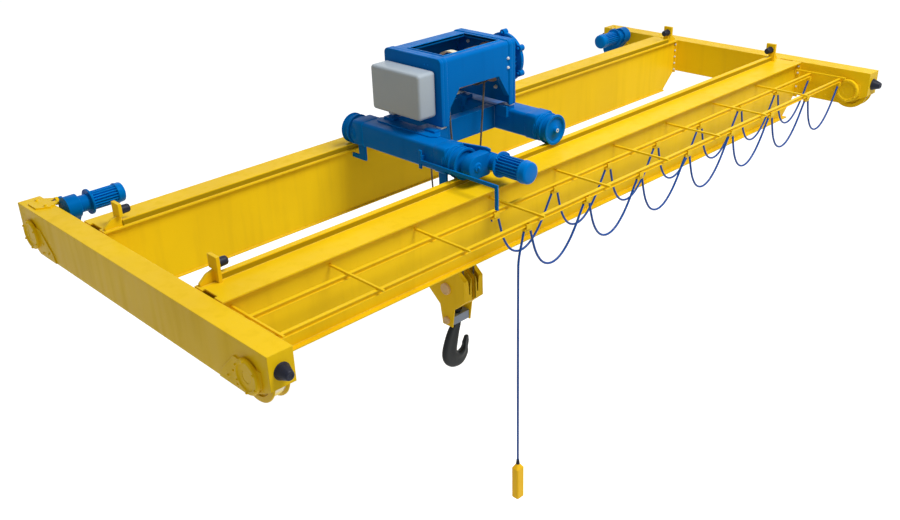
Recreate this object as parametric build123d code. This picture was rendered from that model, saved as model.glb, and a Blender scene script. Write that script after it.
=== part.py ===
from build123d import *
import math
import os

# Double-girder overhead bridge crane, in millimetres.
# Origin: where the tread of the front left travel wheel stands on its runway rail.
# +X runs along the span to the right end carriage, +Y to the rear, +Z up.

# Bridge
span = 7980.0                 # left runway rail to right runway rail
wheel_base = 3186.0           # front to rear travel wheel axles
carriage_overhang = 220.0     # end carriage beyond each wheel axle
carriage_width = 194.0
carriage_height = 384.0
carriage_top = 408.0          # above the runway rail
carriage_plate = 10.0
end_plate_height = 254.0      # end plate of a carriage, from the top down
corner_cut = 250.0            # length of the lower corner cut off the side plates

# Travel wheels and their bearings
wheel_radius = 187.0          # at the tread
wheel_tread = 90.0            # between the flanges
wheel_flange = 20.0           # thickness of a flange
wheel_flange_depth = 18.0
axle_radius = 45.0
axle_fit = 0.3                # running clearance round every shaft
bearing_radius = 126.0
bearing_proud = 30.0
pad_thickness = 10.0
runway_rail_width = 75.0

# Main girders
girder_width = 350.0          # top plate
girder_height = 610.0
girder_gap = 11.0             # top plate to the carriage
top_plate = 14.0
bottom_plate = 12.0
web_plate = 10.0
web_setback = 49.0            # outer web behind the edge of the top plate
bottom_trim = 20.0            # bottom plate narrower than the top plate, on the rail side
end_slope = 205.0             # lower corner of the webs, cut at 45 degrees
end_plate = 12.0
notch_length = 27.0
notch_width = 160.0

# Trolley rails, stops and buffers
trolley_gauge = 1400.0
rail_size = 50.0
rail_edge = 15.0              # rail foot to the edge of the top plate
stop_distance = 151.0         # girder stop plate from the inner face of the carriage
stop_plate = 30.0
stop_width = 110.0
stop_height = 195.0
stop_buffer_height = 125.0    # above the top plate
stop_buffer_radius = 39.0
stop_buffer_length = 85.0
end_buffer_height = 270.0     # above the runway rail
end_buffer_radius = 62.0
end_buffer_length = 90.0

# Long travel drives, on the rear wheels
drive_motor_back = 143.0      # motor axis in front of the rear axle
drive_motor_height = 374.0
drive_motor_radius = 82.0
drive_flange_radius = 110.0
drive_gap = 8.0
torque_pin_radius = 16.0
drive_gear_depth = 110.0
drive_neck = 96.0
drive_motor_length = 227.0
drive_cap_length = 75.0

# Festoon lattice: arms on the front girder and two hanging tracks
arm_count = 10
arm_first = 193.0
arm_pitch = 848.0
arm_size = 30.0
arm_drop = 62.0               # top of the arms below the top of the girder
arm_length = 605.0
track_width = 30.0
track_height = 40.0
inner_track_reach = 191.0     # girder web to the middle of the inner track
outer_track_reach = 541.0
loop_count = 7
loop_start = 2643.0
loop_pitch = 748.0
loop_chord = 668.0
loop_depth = 400.0
cable_radius = 10.0
carrier_length = 80.0
clamp_length = 36.0
pendant_x = 2496.0
pendant_cable_length = 2242.0
pendant_length = 360.0
pendant_width = 90.0

# Trolley
trolley_x = 3268.0            # middle of the trolley at rest
trolley_base = 1150.0         # left to right trolley axles
trolley_wheel_radius = 125.0
trolley_flange_depth = 15.0
trolley_wheel_tread = 60.0
trolley_flange = 14.0
beam_width = 225.0
beam_height = 225.0
trolley_wheel_inside = 60.0   # middle of the wheel to the housing
stub_radius = 38.0
stub_length = 90.0
beam_corner = 32.0
beam_lift = 25.0              # underside of the beams above the trolley rail
housing_length = 170.0
drive_clear = 6.0
trolley_gear_depth = 74.0
trolley_motor_offset = 185.0
trolley_motor_out = 284.0     # front rail to the mounting flange of the motor
trolley_motor_length = 317.0
trolley_cap_length = 80.0
trolley_motor_radius = 90.0
trolley_motor_flange = 114.0
tow_arm_bar = 30.0
tow_arm_gap = 5.0             # tow arm beside the wheel
tow_arm_clear = 7.0           # tow arm above the arms of the lattice
shim = 15.0
pad_height = 30.0
pad_length = 130.0
pad_reach = 70.0
cross_member_forward = 90.0   # front of the member before the middle of the crane
cross_member_width = 100.0

# Hoist
frame_offset = 400.0          # left end of the frame to the middle of the trolley
frame_length = 940.0
frame_forward = 270.0         # front of the frame before the middle of the crane
frame_depth = 670.0
frame_height = 595.0
frame_plate = 40.0
drum_pitch_radius = 165.0     # centre line of the rope on the drum
drum_forward = 10.0
drum_above_foot = 355.0
control_box_size = (190.0, 580.0, 370.0)
frame_corner = 35.0
drum_shaft_radius = 60.0
drum_end_gap = 2.0
drum_grooves = 30
groove_depth = 3.0
anchor_below_drum = 125.0
tow_arm_back = 357.0          # upright behind the front rail
tow_arm_past = 96.0           # end of the arm past the inner track
tow_arm_z = 553.0
gear_radius = 150.0
gear_flange_radius = 205.0
gear_length = 225.0

# Hook block
hook_offset = 25.0            # hook to the left of the middle of the trolley
sheave_radius = 185.0         # outside
sheave_groove = 175.0         # rope centre line
sheave_pitch = 110.0
sheave_axis_height = -1021.0
rope_radius = 9.0
lead_spread = (-198.0, 280.0)   # ropes at the drum, either side of the hook
dead_spread = (-133.0, 133.0)   # fixed ends of the ropes, either side of the hook
sheave_pin_radius = 35.0
block_half = 228.0
cheek_gap = 36.0              # sheave to cheek plate
cheek_plate = 15.0
crosshead_drop = 354.0        # below the sheave pin
trunnion_radius = 28.0
shank_radius = 38.0
throat_radius = 105.0
throat_z = -1706.0
hook_thickness = 84.0

rail_top = carriage_top + rail_size
axle_z = wheel_radius
middle_y = wheel_base / 2
carriage_length = wheel_base + 2 * carriage_overhang
front_rail_y = middle_y - trolley_gauge / 2
rear_rail_y = middle_y + trolley_gauge / 2
inner_face = carriage_width / 2
carriage_front = middle_y - carriage_length / 2
carriage_rear = middle_y + carriage_length / 2
carriage_bottom = carriage_top - carriage_height
gear_start = inner_face + pad_thickness + bearing_proud + drive_gap
girder_start = inner_face + girder_gap
girder_end = span - girder_start
girder_bottom = carriage_top - girder_height
girder_front = front_rail_y + rail_size / 2 + rail_edge - girder_width
web_y = girder_front + web_setback
inner_track_y = web_y - inner_track_reach
outer_track_y = web_y - outer_track_reach
trolley_motor_start = front_rail_y - trolley_motor_out
cross_member_front = middle_y - cross_member_forward
frame_left = trolley_x - frame_offset
frame_front = middle_y - frame_forward
drum_y = middle_y - drum_forward
tow_arm_root = front_rail_y + tow_arm_back
tow_arm_end = inner_track_y - tow_arm_past
hook_x = trolley_x - hook_offset
hook_y = middle_y
drum_leads = tuple(hook_x + dx for dx in lead_spread)
dead_ends = tuple(hook_x + dx for dx in dead_spread)
trolley_axle_z = rail_top + trolley_wheel_radius
drive_motor_y = wheel_base - drive_motor_back
left_axle_x = trolley_x - trolley_base / 2
right_axle_x = trolley_x + trolley_base / 2
beam_bottom = rail_top + beam_lift
beam_top = beam_bottom + beam_height
foot_z = beam_top + pad_height + shim
drum_z = foot_z + drum_above_foot
anchor_z = drum_z - anchor_below_drum
crosshead_z = sheave_axis_height - crosshead_drop
arm_top = carriage_top - arm_drop
track_bottom = arm_top - arm_size - track_height
loop_end = loop_start + loop_pitch * (loop_count - 1) + loop_chord
saddle_bottom = track_bottom - 46
pendant_top = saddle_bottom - pendant_cable_length

os.makedirs("parts", exist_ok=True)


def save(shape, name):
    """Write one sub-part; a list becomes one compound of separate solids."""
    if isinstance(shape, (list, tuple)):
        solids = [s for piece in shape for s in piece.solids()]
        shape = Compound(children=solids) if len(solids) > 1 else solids[0]
    export_step(shape, f"parts/{name}.step")


def block(x0, x1, y0, y1, z0, z1):
    """A plain bar or plate between two corners."""
    return Pos((x0 + x1) / 2, (y0 + y1) / 2, (z0 + z1) / 2) * Box(abs(x1 - x0), abs(y1 - y0), abs(z1 - z0))


def rod(axis, centre, radius, length):
    """A round bar centred on a point, along X, Y or Z."""
    turn = {"X": Rot(0, 90, 0), "Y": Rot(90, 0, 0), "Z": Rot(0, 0, 0)}[axis]
    return Pos(*centre) * turn * Cylinder(radius, length)


def plate_yz(points, x, thickness):
    """A plate cut to an outline given in Y and Z, from x towards +X."""
    outline = make_face(Polyline([(x, y, z) for y, z in points], close=True))
    return extrude(outline, thickness, dir=(1, 0, 0))


def plate_xz(points, y, thickness):
    """A plate cut to an outline given in X and Z, from y towards +Y."""
    outline = make_face(Polyline([(x, y, z) for x, z in points], close=True))
    return extrude(outline, thickness, dir=(0, 1, 0))


def mirror_span(shape):
    """The same piece on the other end of the span."""
    return mirror(shape, Plane.YZ.offset(span / 2))


def mirror_depth(shape):
    """The same piece on the other side of the middle of the wheel base."""
    return mirror(shape, Plane.XZ.offset(-middle_y))


def spin_profile(points, axis, centre):
    """Turn a profile of (along, radius) points about X or Y through a centre."""
    x, y, z = centre
    if axis == "X":
        outline = [(x + a, y, z + r) for a, r in points]
        line = Axis((x, y, z), (1, 0, 0))
    else:
        outline = [(x, y + a, z + r) for a, r in points]
        line = Axis((x, y, z), (0, 1, 0))
    return revolve(make_face(Polyline(outline, close=True)), line)


def carriage():
    """Left end carriage: a plate box, its lower corners cut back round the wheels."""
    front, rear = carriage_front, carriage_rear
    low = carriage_top - end_plate_height
    side = [(front, carriage_top), (rear, carriage_top), (rear, low), (rear - corner_cut, carriage_bottom),
            (front + corner_cut, carriage_bottom), (front, low)]
    body = plate_yz(side, -inner_face, carriage_width)
    hollow = block(-inner_face + carriage_plate, inner_face - carriage_plate, front + carriage_plate,
                   rear - carriage_plate, carriage_bottom - 1, carriage_top - carriage_plate)
    body -= hollow
    floor = block(-inner_face + carriage_plate, inner_face - carriage_plate, front + 2 * corner_cut,
                  rear - 2 * corner_cut, carriage_bottom, carriage_bottom + carriage_plate)
    body += floor
    for y in (0, wheel_base):
        body -= rod("X", (0, y, axle_z), bearing_radius - 30, carriage_width + 2)
    return body


def bearing_side():
    """Pad plate and round bearing cover on the outer face of the left carriage, front wheel."""
    x = -inner_face - pad_thickness
    top = carriage_top - 140
    pad = plate_yz([(-135, top), (160, top), (322, carriage_top - 297), (368, carriage_bottom + 4),
                    (70, carriage_bottom + 4), (-135, carriage_top - 260)], x, pad_thickness)
    cover = spin_profile([(0, 0), (0, bearing_radius), (-bearing_proud + 8, bearing_radius),
                          (-bearing_proud, bearing_radius - 8), (-bearing_proud, bearing_radius - 26),
                          (-bearing_proud + 10, bearing_radius - 34), (-bearing_proud + 10, 0)],
                         "X", (x, 0, axle_z))
    return pad + cover


def bearings():
    """Four pads with covers on one carriage: both faces, front and rear wheels."""
    outer = bearing_side()
    outer -= rod("X", (-inner_face, 0, axle_z), axle_radius + axle_fit, 2 * (pad_thickness + bearing_proud) - 20)
    inner = mirror(outer, Plane.YZ)
    driven = mirror_depth(inner) - rod("X", (inner_face, wheel_base, axle_z), axle_radius + axle_fit, 200)
    return [outer, inner, mirror_depth(outer), driven]


def travel_wheel(y, drive_side=0.0):
    """Double-flanged wheel on its axle; a driven axle runs on into its gearbox."""
    half = wheel_tread / 2
    edge = half + wheel_flange
    rim = wheel_radius + wheel_flange_depth
    axle = inner_face + pad_thickness + bearing_proud - 12
    points = [(-axle, 0), (-axle, axle_radius), (-edge - 6, axle_radius), (-edge - 6, 80), (-edge + 12, 84),
              (-edge + 12, rim - 50), (-edge, rim - 44), (-edge, rim - 4), (-edge + 4, rim), (-half - 6, rim),
              (-half, wheel_radius), (half, wheel_radius), (half + 6, rim), (edge - 4, rim), (edge, rim - 4),
              (edge, rim - 44), (edge - 12, rim - 50), (edge - 12, 84), (edge + 6, 80), (edge + 6, axle_radius),
              (axle + drive_side, axle_radius), (axle + drive_side, 0)]
    return spin_profile(points, "X", (0, y, axle_z))


def girder():
    """Front girder: box of two webs and a bottom plate with bolted end plates."""
    y0, y1 = girder_front, girder_front + girder_width
    under = carriage_top - top_plate
    x0, x1 = girder_start, girder_end
    face = inner_face + end_plate
    web = [(face, under), (span - face, under), (span - face, under - 391), (x1 - end_slope, girder_bottom + bottom_plate),
           (x0 + end_slope, girder_bottom + bottom_plate), (face, under - 391)]
    outer_y = y0 + web_setback
    inner_y = front_rail_y - web_plate / 2
    box = plate_xz(web, outer_y, web_plate) + plate_xz(web, inner_y, web_plate)
    box += block(x0 + end_slope - 12, x1 - end_slope + 12, y0, y1 - bottom_trim, girder_bottom, girder_bottom + bottom_plate)
    for x in (inner_face, span - face):
        box += block(x, x + end_plate, outer_y - 40, inner_y + web_plate + 25, 0, under)
    cap = block(x0, x1, y0, y1, under, carriage_top)
    notch_y = outer_y + 50
    for x in (x0, x1 - notch_length):
        cap -= block(x, x + notch_length, notch_y, notch_y + notch_width, under - 1, carriage_top + 1)
    return box, cap


def trolley_stop():
    """Front left stop: a flag-shaped plate with a gusset behind it."""
    x = inner_face + stop_distance
    y = front_rail_y
    top = carriage_top + stop_height
    half = stop_width / 2
    plate = plate_yz([(y - half, carriage_top), (y + half / 3, carriage_top), (y + half / 3, carriage_top + 90),
                      (y + half, carriage_top + 90), (y + half, top), (y - half, top)], x, stop_plate)
    gusset = plate_xz([(x, carriage_top), (x, carriage_top + 90), (x - 60, carriage_top + 72),
                       (x - 120, carriage_top + 22), (x - 120, carriage_top)], y - 6, 24)
    return plate + gusset


def rubber(base_radius, tip_radius, length, axis, centre):
    """A tapered rubber buffer with a rounded tip."""
    step = length * 0.12
    points = [(0, 0), (0, base_radius), (length - step, tip_radius + 3), (length, tip_radius - step), (length, 0)]
    return spin_profile(points, axis, centre)


def buffers():
    """Four stop buffers on the girders and four end buffers on the carriages."""
    stop = rubber(stop_buffer_radius, stop_buffer_radius - 6, stop_buffer_length, "X",
                  (inner_face + stop_distance + stop_plate, front_rail_y, carriage_top + stop_buffer_height))
    end = rubber(end_buffer_radius, end_buffer_radius - 30, end_buffer_length, "Y", (0, 0, end_buffer_height))
    end = Pos(0, carriage_rear, 0) * end
    left = [stop, mirror_depth(stop), end, mirror_depth(end)]
    return left + [mirror_span(s) for s in left]


def finned(radius, length, start, centre, fins=16):
    """Motor housing along +X with cooling fins, as one extruded outline."""
    x, y, z = centre
    core = Pos(x + start, y, z) * Rot(0, 90, 0) * Cylinder(radius - 9, length, align=(Align.CENTER, Align.CENTER, Align.MIN))
    for k in range(fins):
        fin = Pos(x + start, y, z) * Rot(0, 90, 0) * Rot(0, 0, 360 / fins * k) * Box(
            2 * radius, 6, length, align=(Align.CENTER, Align.CENTER, Align.MIN)) if k < fins / 2 else None
        if fin:
            core += fin
    return core


def travel_drive():
    """Left long travel drive: gearbox on the wheel axle, finned motor along the span."""
    x0 = gear_start
    x1 = x0 + drive_gear_depth
    deep = drive_gear_depth
    middle = (x0 + x1) / 2
    low = (wheel_base, axle_z)
    high = (drive_motor_y, drive_motor_height)
    gearbox = rod("X", (middle, *low), 108, deep) + rod("X", (middle, *high), 100, deep)
    gearbox += loft_box(low, high, 104, x0, deep)
    gearbox += rod("X", (x1 + drive_neck / 2, *high), 72, drive_neck)
    flange_x = x1 + drive_neck
    gearbox += rod("X", (flange_x + 8, *high), drive_flange_radius, 16)
    gearbox -= rod("X", (x0, *low), axle_radius + axle_fit, 2 * deep - 20)
    ear = block(x0 + 20, x0 + 50, wheel_base - 30, wheel_base + 30, axle_z + 80, carriage_top - 1)
    ear += rod("X", (x0 + 35, wheel_base, carriage_top - 1), 30, 30)
    gearbox += ear
    pin = rod("X", (x0 + 22, wheel_base, carriage_top - 1), torque_pin_radius, 84)
    gearbox += pin
    start = flange_x + 16
    motor = finned(drive_motor_radius, drive_motor_length, start, (0, *high))
    motor += rod("X", (start + drive_motor_length + drive_cap_length / 2, *high), drive_motor_radius + 3, drive_cap_length)
    return gearbox, motor


def loft_box(a, b, half, x0, width):
    """The straight body between two round ends of a gearbox."""
    dy, dz = b[0] - a[0], b[1] - a[1]
    size = math.hypot(dy, dz)
    ny, nz = -dz / size * half * 0.86, dy / size * half * 0.86
    return plate_yz([(a[0] + ny, a[1] + nz), (b[0] + ny, b[1] + nz), (b[0] - ny, b[1] - nz), (a[0] - ny, a[1] - nz)],
                    x0, width)


def torque_bracket():
    """Plate on the left carriage; its ring holds the pin of the gearbox's ear."""
    y = wheel_base
    x1 = gear_start + 14
    points = [(-60, y - 60), (-60, y + 90), (40, y + 150), (x1 - 14, y + 60), (x1 - 14, y - 60), (40, y - 110)]
    plate = make_face(Polyline([(px, py, carriage_top) for px, py in points], close=True))
    plate = extrude(plate, 12, dir=(0, 0, 1))
    ring = rod("X", (x1 - 12, y, carriage_top - 1), 34, 24)
    stem = block(x1 - 24, x1, y - 34, y + 34, carriage_top, carriage_top + 12)
    hole = rod("X", (x1 - 12, y, carriage_top - 1), torque_pin_radius + axle_fit, 90)
    return plate + ring + stem - hole


def festoon_arms():
    """Square bars that stand out from the front girder."""
    half = arm_size / 2
    places = [arm_first + arm_pitch * k for k in range(arm_count)]
    return [block(x - half, x + half, web_y - arm_length, web_y, arm_top - arm_size, arm_top) for x in places]


def festoon_track(y):
    """I-shaped track under the arms."""
    start = arm_first - arm_size / 2
    end = arm_first + arm_pitch * (arm_count - 1) + arm_size / 2
    top = arm_top - arm_size
    half = track_width / 2
    skin = 6.0
    outline = [(y - half, top), (y + half, top), (y + half, top - skin), (y + 3, top - skin),
               (y + 3, track_bottom + skin), (y + half, track_bottom + skin), (y + half, track_bottom),
               (y - half, track_bottom), (y - half, track_bottom + skin), (y - 3, track_bottom + skin),
               (y - 3, top - skin), (y - half, top - skin)]
    return plate_yz(outline, start, end - start)


def end_clamp(y):
    """Clamp at the right end of a track that holds the last loop of cable."""
    return block(loop_end, loop_end + clamp_length, y - 22, y + 22, saddle_bottom, track_bottom)


def carrier(x, y):
    """Cable carrier: cheeks round the foot of the track, and a rounded saddle for the cable."""
    gap = 4.0
    inside = track_width / 2 + gap
    top = track_bottom + 20
    cheek = block(x - 30, x + 30, y + inside, y + inside + 6, track_bottom - 20, top)
    cheek += block(x - 30, x + 30, y - inside - 6, y - inside, track_bottom - 20, top)
    cheek += block(x - 30, x + 30, y - inside - 6, y + inside + 6, track_bottom - 20, track_bottom - 12)
    for side in (-1, 1):
        for dx in (-18, 18):
            cheek += rod("Y", (x + dx, y + side * (inside - 3), track_bottom + 14.5), 8, 8)
    saddle = block(x - carrier_length / 2, x + carrier_length / 2, y - 14, y + 14, track_bottom - 46, track_bottom - 20)
    return cheek + saddle


def loop_points(x0, y, z):
    """One hanging loop of cable, from one carrier to the next."""
    c, d = loop_chord, loop_depth
    shape = [(0, 0), (0.045, 0.30), (0.115, 0.62), (0.235, 0.89), (0.40, 1.0), (0.57, 0.93), (0.73, 0.70),
             (0.86, 0.40), (0.95, 0.13), (1, 0)]
    return [(x0 + a * c, y, z - b * d) for a, b in shape]


def cable_tube(points, radius):
    """Round tube along straight runs joined by tangent arcs as large as the runs allow."""
    vectors = [Vector(*p) for p in points]
    radii = []
    for a, b, c in zip(vectors, vectors[1:], vectors[2:]):
        turn = math.radians((b - a).get_angle(c - b))
        radii.append(0.45 * min((b - a).length, (c - b).length) / math.tan(turn / 2))
    path = FilletPolyline(*points, radius=radii)
    start = Plane(origin=points[0], z_dir=vectors[1] - vectors[0])
    tube = sweep(start * Circle(radius), path=path)
    expected = math.pi * radius ** 2 * path.length
    print(f"cable length {path.length:.0f}, radii {min(radii):.0f} to {max(radii):.0f}, volume ratio {tube.volume / expected:.4f}")
    return tube


def hung_cable(y):
    """All loops of one festoon as tubes, from carrier to carrier."""
    z = track_bottom - 46
    return [cable_tube(loop_points(loop_start + loop_pitch * k, y, z), cable_radius) for k in range(loop_count)]


def trolley_beam(x):
    """End beam of the trolley: a rounded tube with a cast round wheel housing at each end."""
    y0 = front_rail_y + trolley_wheel_inside
    y1 = rear_rail_y - trolley_wheel_inside
    middle = (beam_bottom + beam_top) / 2
    tube = block(x - beam_width / 2, x + beam_width / 2, y0 + housing_length - 2, y1 - housing_length + 2,
                 beam_bottom, beam_top)
    tube = fillet(tube.edges().filter_by(Axis.Y), beam_corner)
    radius = trolley_wheel_radius + trolley_flange_depth - 8
    ring = Plane(origin=(x, y0, trolley_axle_z), z_dir=(0, 1, 0)) * Circle(radius)
    neck = Plane(origin=(x, y0 + housing_length, middle), z_dir=(0, 1, 0)) * RectangleRounded(
        beam_width, beam_height, beam_corner)
    housing = loft([ring, neck])
    housing -= rod("Y", (x, y0, trolley_axle_z), stub_radius + axle_fit, 2 * stub_length)
    return tube + housing + mirror_depth(housing)


def trolley_wheels(x):
    """Front and rear wheel of one end of the trolley, on one axle line, each with its stub axle."""
    half = trolley_wheel_tread / 2
    edge = half + trolley_flange
    rim = trolley_wheel_radius + trolley_flange_depth
    stub = trolley_wheel_inside + stub_length - 5
    points = [(-edge - 10, 0), (-edge - 10, 34), (-edge + 8, 40), (-edge + 8, rim - 38), (-edge, rim - 30),
              (-edge, rim - 3), (-edge + 3, rim), (-half - 4, rim), (-half, trolley_wheel_radius),
              (half, trolley_wheel_radius), (half + 4, rim), (edge - 3, rim), (edge, rim - 3),
              (edge, stub_radius), (stub, stub_radius), (stub, 0)]
    front = spin_profile(points, "Y", (x, front_rail_y, trolley_axle_z))
    return [front, mirror_depth(front)]


def trolley_drive():
    """Flat gearbox outside the front left trolley wheel, with its motor across the girder."""
    face = front_rail_y - trolley_wheel_tread / 2 - trolley_flange - 10 - drive_clear
    back = face - trolley_gear_depth
    x0 = left_axle_x
    x1 = x0 + trolley_motor_offset
    z = trolley_axle_z
    middle = (face + back) / 2
    gearbox = rod("Y", (x0, middle, z), 96, trolley_gear_depth) + rod("Y", (x1, middle, z), 90, trolley_gear_depth)
    gearbox += block(x0, x1, back, face, z - 88, z + 88)
    neck_end = trolley_motor_start + 16
    gearbox += rod("Y", (x1, (back + neck_end) / 2, z), 66, back - neck_end)
    gearbox += rod("Y", (x1, trolley_motor_start + 8, z), trolley_motor_flange, 16)
    lug_x = x0 + beam_width / 2
    reach = lug_x + 65
    far = front_rail_y + trolley_wheel_inside + housing_length + 30
    gearbox += block(reach - 22, reach, back + 20, far, z - 20, z + 30)
    gearbox += block(lug_x, reach, far - 20, far, z - 20, z + 30)
    barrel = trolley_motor_length - trolley_cap_length
    motor = finned(trolley_motor_radius, barrel, 0, (0, 0, 0))
    motor += rod("X", (barrel + trolley_cap_length / 2, 0, 0), trolley_motor_radius + 8, trolley_cap_length)
    motor = Pos(x1, trolley_motor_start, z) * Rot(0, 0, -90) * motor
    return gearbox, motor


def cross_frame():
    """Two members between the end beams, brackets and pads for the hoist feet, and light shims."""
    x0 = left_axle_x + beam_width / 2
    x1 = right_axle_x - beam_width / 2
    frame = None
    for y in (cross_member_front, frame_front + frame_depth - 60):
        member = block(x0, x1, y, y + cross_member_width, beam_bottom + 10, beam_top)
        member -= block(x0 - 1, x1 + 1, y + 12, y + cross_member_width - 12, beam_bottom + 22, beam_top - 12)
        frame = member if frame is None else frame + member
    pad_top = beam_top + pad_height
    for y in (frame_front, frame_front + frame_depth - pad_length):
        left = block(x0, frame_left + pad_reach, y, y + pad_length, beam_top - 70, beam_top)
        left += block(x0 - 20, frame_left + pad_reach, y, y + pad_length, beam_top, pad_top)
        right = block(x1 - 30, x1, y, y + pad_length, beam_top - 70, beam_top)
        right += block(x1 - 30, frame_left + frame_length, y, y + pad_length, beam_top, pad_top)
        frame += left + right
    return frame


def shims():
    """Light shims between the pads and the feet of the hoist."""
    pad_top = beam_top + pad_height
    pieces = []
    for y in (frame_front + 10, frame_front + frame_depth - pad_length + 10):
        for x in (frame_left, frame_left + frame_length - 90):
            pieces.append(block(x, x + 90, y, y + pad_length - 20, pad_top, pad_top + shim))
    return pieces


def hoist_frame():
    """Open box frame of the hoist: two thick ends, front and rear skirts and an open top."""
    x0, x1 = frame_left, frame_left + frame_length
    y0, y1 = frame_front, frame_front + frame_depth
    z0, z1 = foot_z, foot_z + frame_height
    body = block(x0, x1, y0, y1, z0, z1)
    body = fillet(body.edges().filter_by(Axis.Z) + body.edges().filter_by(Axis.X).group_by(Axis.Z)[-1], frame_corner)
    body -= block(x0 + frame_plate, x1 - frame_plate, y0 + frame_plate, y1 - frame_plate, z0 - 1, z1 - frame_plate)
    body -= block(x0 + 140, x1 - 165, y0 + 125, y1 - 190, z1 - frame_plate - 1, z1 + 1)
    window = [(x0 + 90, z0 - 1), (x0 + 113, z0 + 150), (x0 + 231, z0 + 304), (x1 - 215, z0 + 296),
              (x1 - 70, z0 + 60), (x1 - 70, z0 - 1)]
    body -= plate_xz(window, y0 - 5, frame_depth + 10)
    for x in (x0 + frame_plate / 2, x1 - frame_plate / 2):
        body -= rod("X", (x, drum_y, drum_z), drum_shaft_radius + axle_fit, frame_plate + 2)
    return body


def drum():
    """Grooved rope drum with end flanges and shafts in the ends of the frame."""
    half = frame_length / 2 - frame_plate - drum_end_gap
    out = half + drum_end_gap + frame_plate - 2
    core = drum_pitch_radius - rope_radius - 0.5
    flange = drum_pitch_radius + 20
    shaft = drum_shaft_radius
    points = [(-out, 0), (-out, shaft), (-half, shaft), (-half, flange), (-half + 14, flange), (-half + 14, core)]
    groove = 2 * half - 28
    pitch = groove / drum_grooves
    for k in range(drum_grooves):
        a = -half + 14 + k * pitch
        points += [(a + pitch * 0.25, core - groove_depth), (a + pitch * 0.75, core - groove_depth), (a + pitch, core)]
    points += [(half - 14, flange), (half, flange), (half, shaft), (out, shaft), (out, 0)]
    return spin_profile(points, "X", (frame_left + frame_length / 2, drum_y, drum_z))


def rope_wraps(x, turns):
    """Turns of rope lying on the drum, as one ribbed ring."""
    r = rope_radius
    low = drum_pitch_radius - r
    points = [(-turns * r, low)]
    for k in range(turns):
        a = (2 * k - turns) * r
        points += [(a + r * 0.3, low + 1.5 * r), (a + r, low + 2 * r), (a + 1.7 * r, low + 1.5 * r), (a + 2 * r, low + r)]
    points[-1] = (turns * r, low)
    return spin_profile(points, "X", (x, drum_y, drum_z))


def rope_guide():
    """Pale ring that keeps the turns in place, on a bar between the ends of the frame."""
    x = frame_left + 400
    inside = drum_pitch_radius + 2 * rope_radius + 3
    ring = rod("X", (x, drum_y, drum_z), inside + 12, 60) - rod("X", (x, drum_y, drum_z), inside, 62)
    ring -= block(x - 31, x + 31, drum_y - 260, drum_y - 60, drum_z - 260, drum_z + 20)
    bar_y = drum_y + inside + 8
    bar = rod("X", (frame_left + frame_length / 2, bar_y, drum_z + 60), 10, frame_length - 2 * frame_plate)
    tab = block(x - 20, x + 20, bar_y - 34, bar_y + 8, drum_z + 52, drum_z + 68)
    return ring + (tab - rod("X", (x, drum_y, drum_z), inside, 62)) + bar


def rope_anchor():
    """Cross bar that holds the dead ends of the ropes, behind the drum."""
    y = hook_y + sheave_groove
    bar = rod("X", (frame_left + frame_length / 2, y, anchor_z), 20, frame_length - 2 * frame_plate)
    for x in dead_ends:
        bar += rod("X", (x, y, anchor_z), 34, 44)
    return bar


def rope_falls():
    """Four falls: two from the drum in front, two from the cross bar behind."""
    front, rear = hook_y - sheave_groove, hook_y + sheave_groove
    low = sheave_axis_height + 1
    sheaves = (hook_x - sheave_pitch / 2, hook_x + sheave_pitch / 2)
    pieces = []
    for x_low, x_drum, x_dead in zip(sheaves, drum_leads, dead_ends):
        pieces.append(straight_rope((x_low, front, low), (x_drum, front, drum_z)))
        pieces.append(straight_rope((x_low, rear, low), (x_dead, rear, anchor_z - 35)))
    return pieces


def straight_rope(a, b):
    """A taut round rope between two points."""
    start, end = Vector(*a), Vector(*b)
    line = end - start
    return extrude(Plane(origin=start, z_dir=line) * Circle(rope_radius), line.length)


def sheave_ropes():
    """The half turn of rope under each sheave."""
    pieces = []
    for x in (hook_x - sheave_pitch / 2, hook_x + sheave_pitch / 2):
        ring = Pos(x, hook_y, sheave_axis_height) * Rot(0, 90, 0) * Torus(sheave_groove, rope_radius)
        pieces.append(ring - block(x - 20, x + 20, hook_y - 250, hook_y + 250, sheave_axis_height, sheave_axis_height + 250))
    return pieces


def sheaves():
    """Two grooved rope sheaves on one pin."""
    bottom = sheave_groove - rope_radius - axle_fit
    bore = sheave_pin_radius + axle_fit
    points = [(-30, bore), (-30, 60), (-10, 66), (-10, 140), (-24, 150), (-24, sheave_radius), (-16, sheave_radius),
              (-rope_radius - 0.5, bottom), (rope_radius + 0.5, bottom), (16, sheave_radius), (24, sheave_radius),
              (24, 150), (10, 140), (10, 66), (30, 60), (30, bore)]
    x = hook_x - sheave_pitch / 2
    one = spin_profile(points, "X", (x, hook_y, sheave_axis_height))
    return [one, Pos(sheave_pitch, 0, 0) * one]


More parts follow.
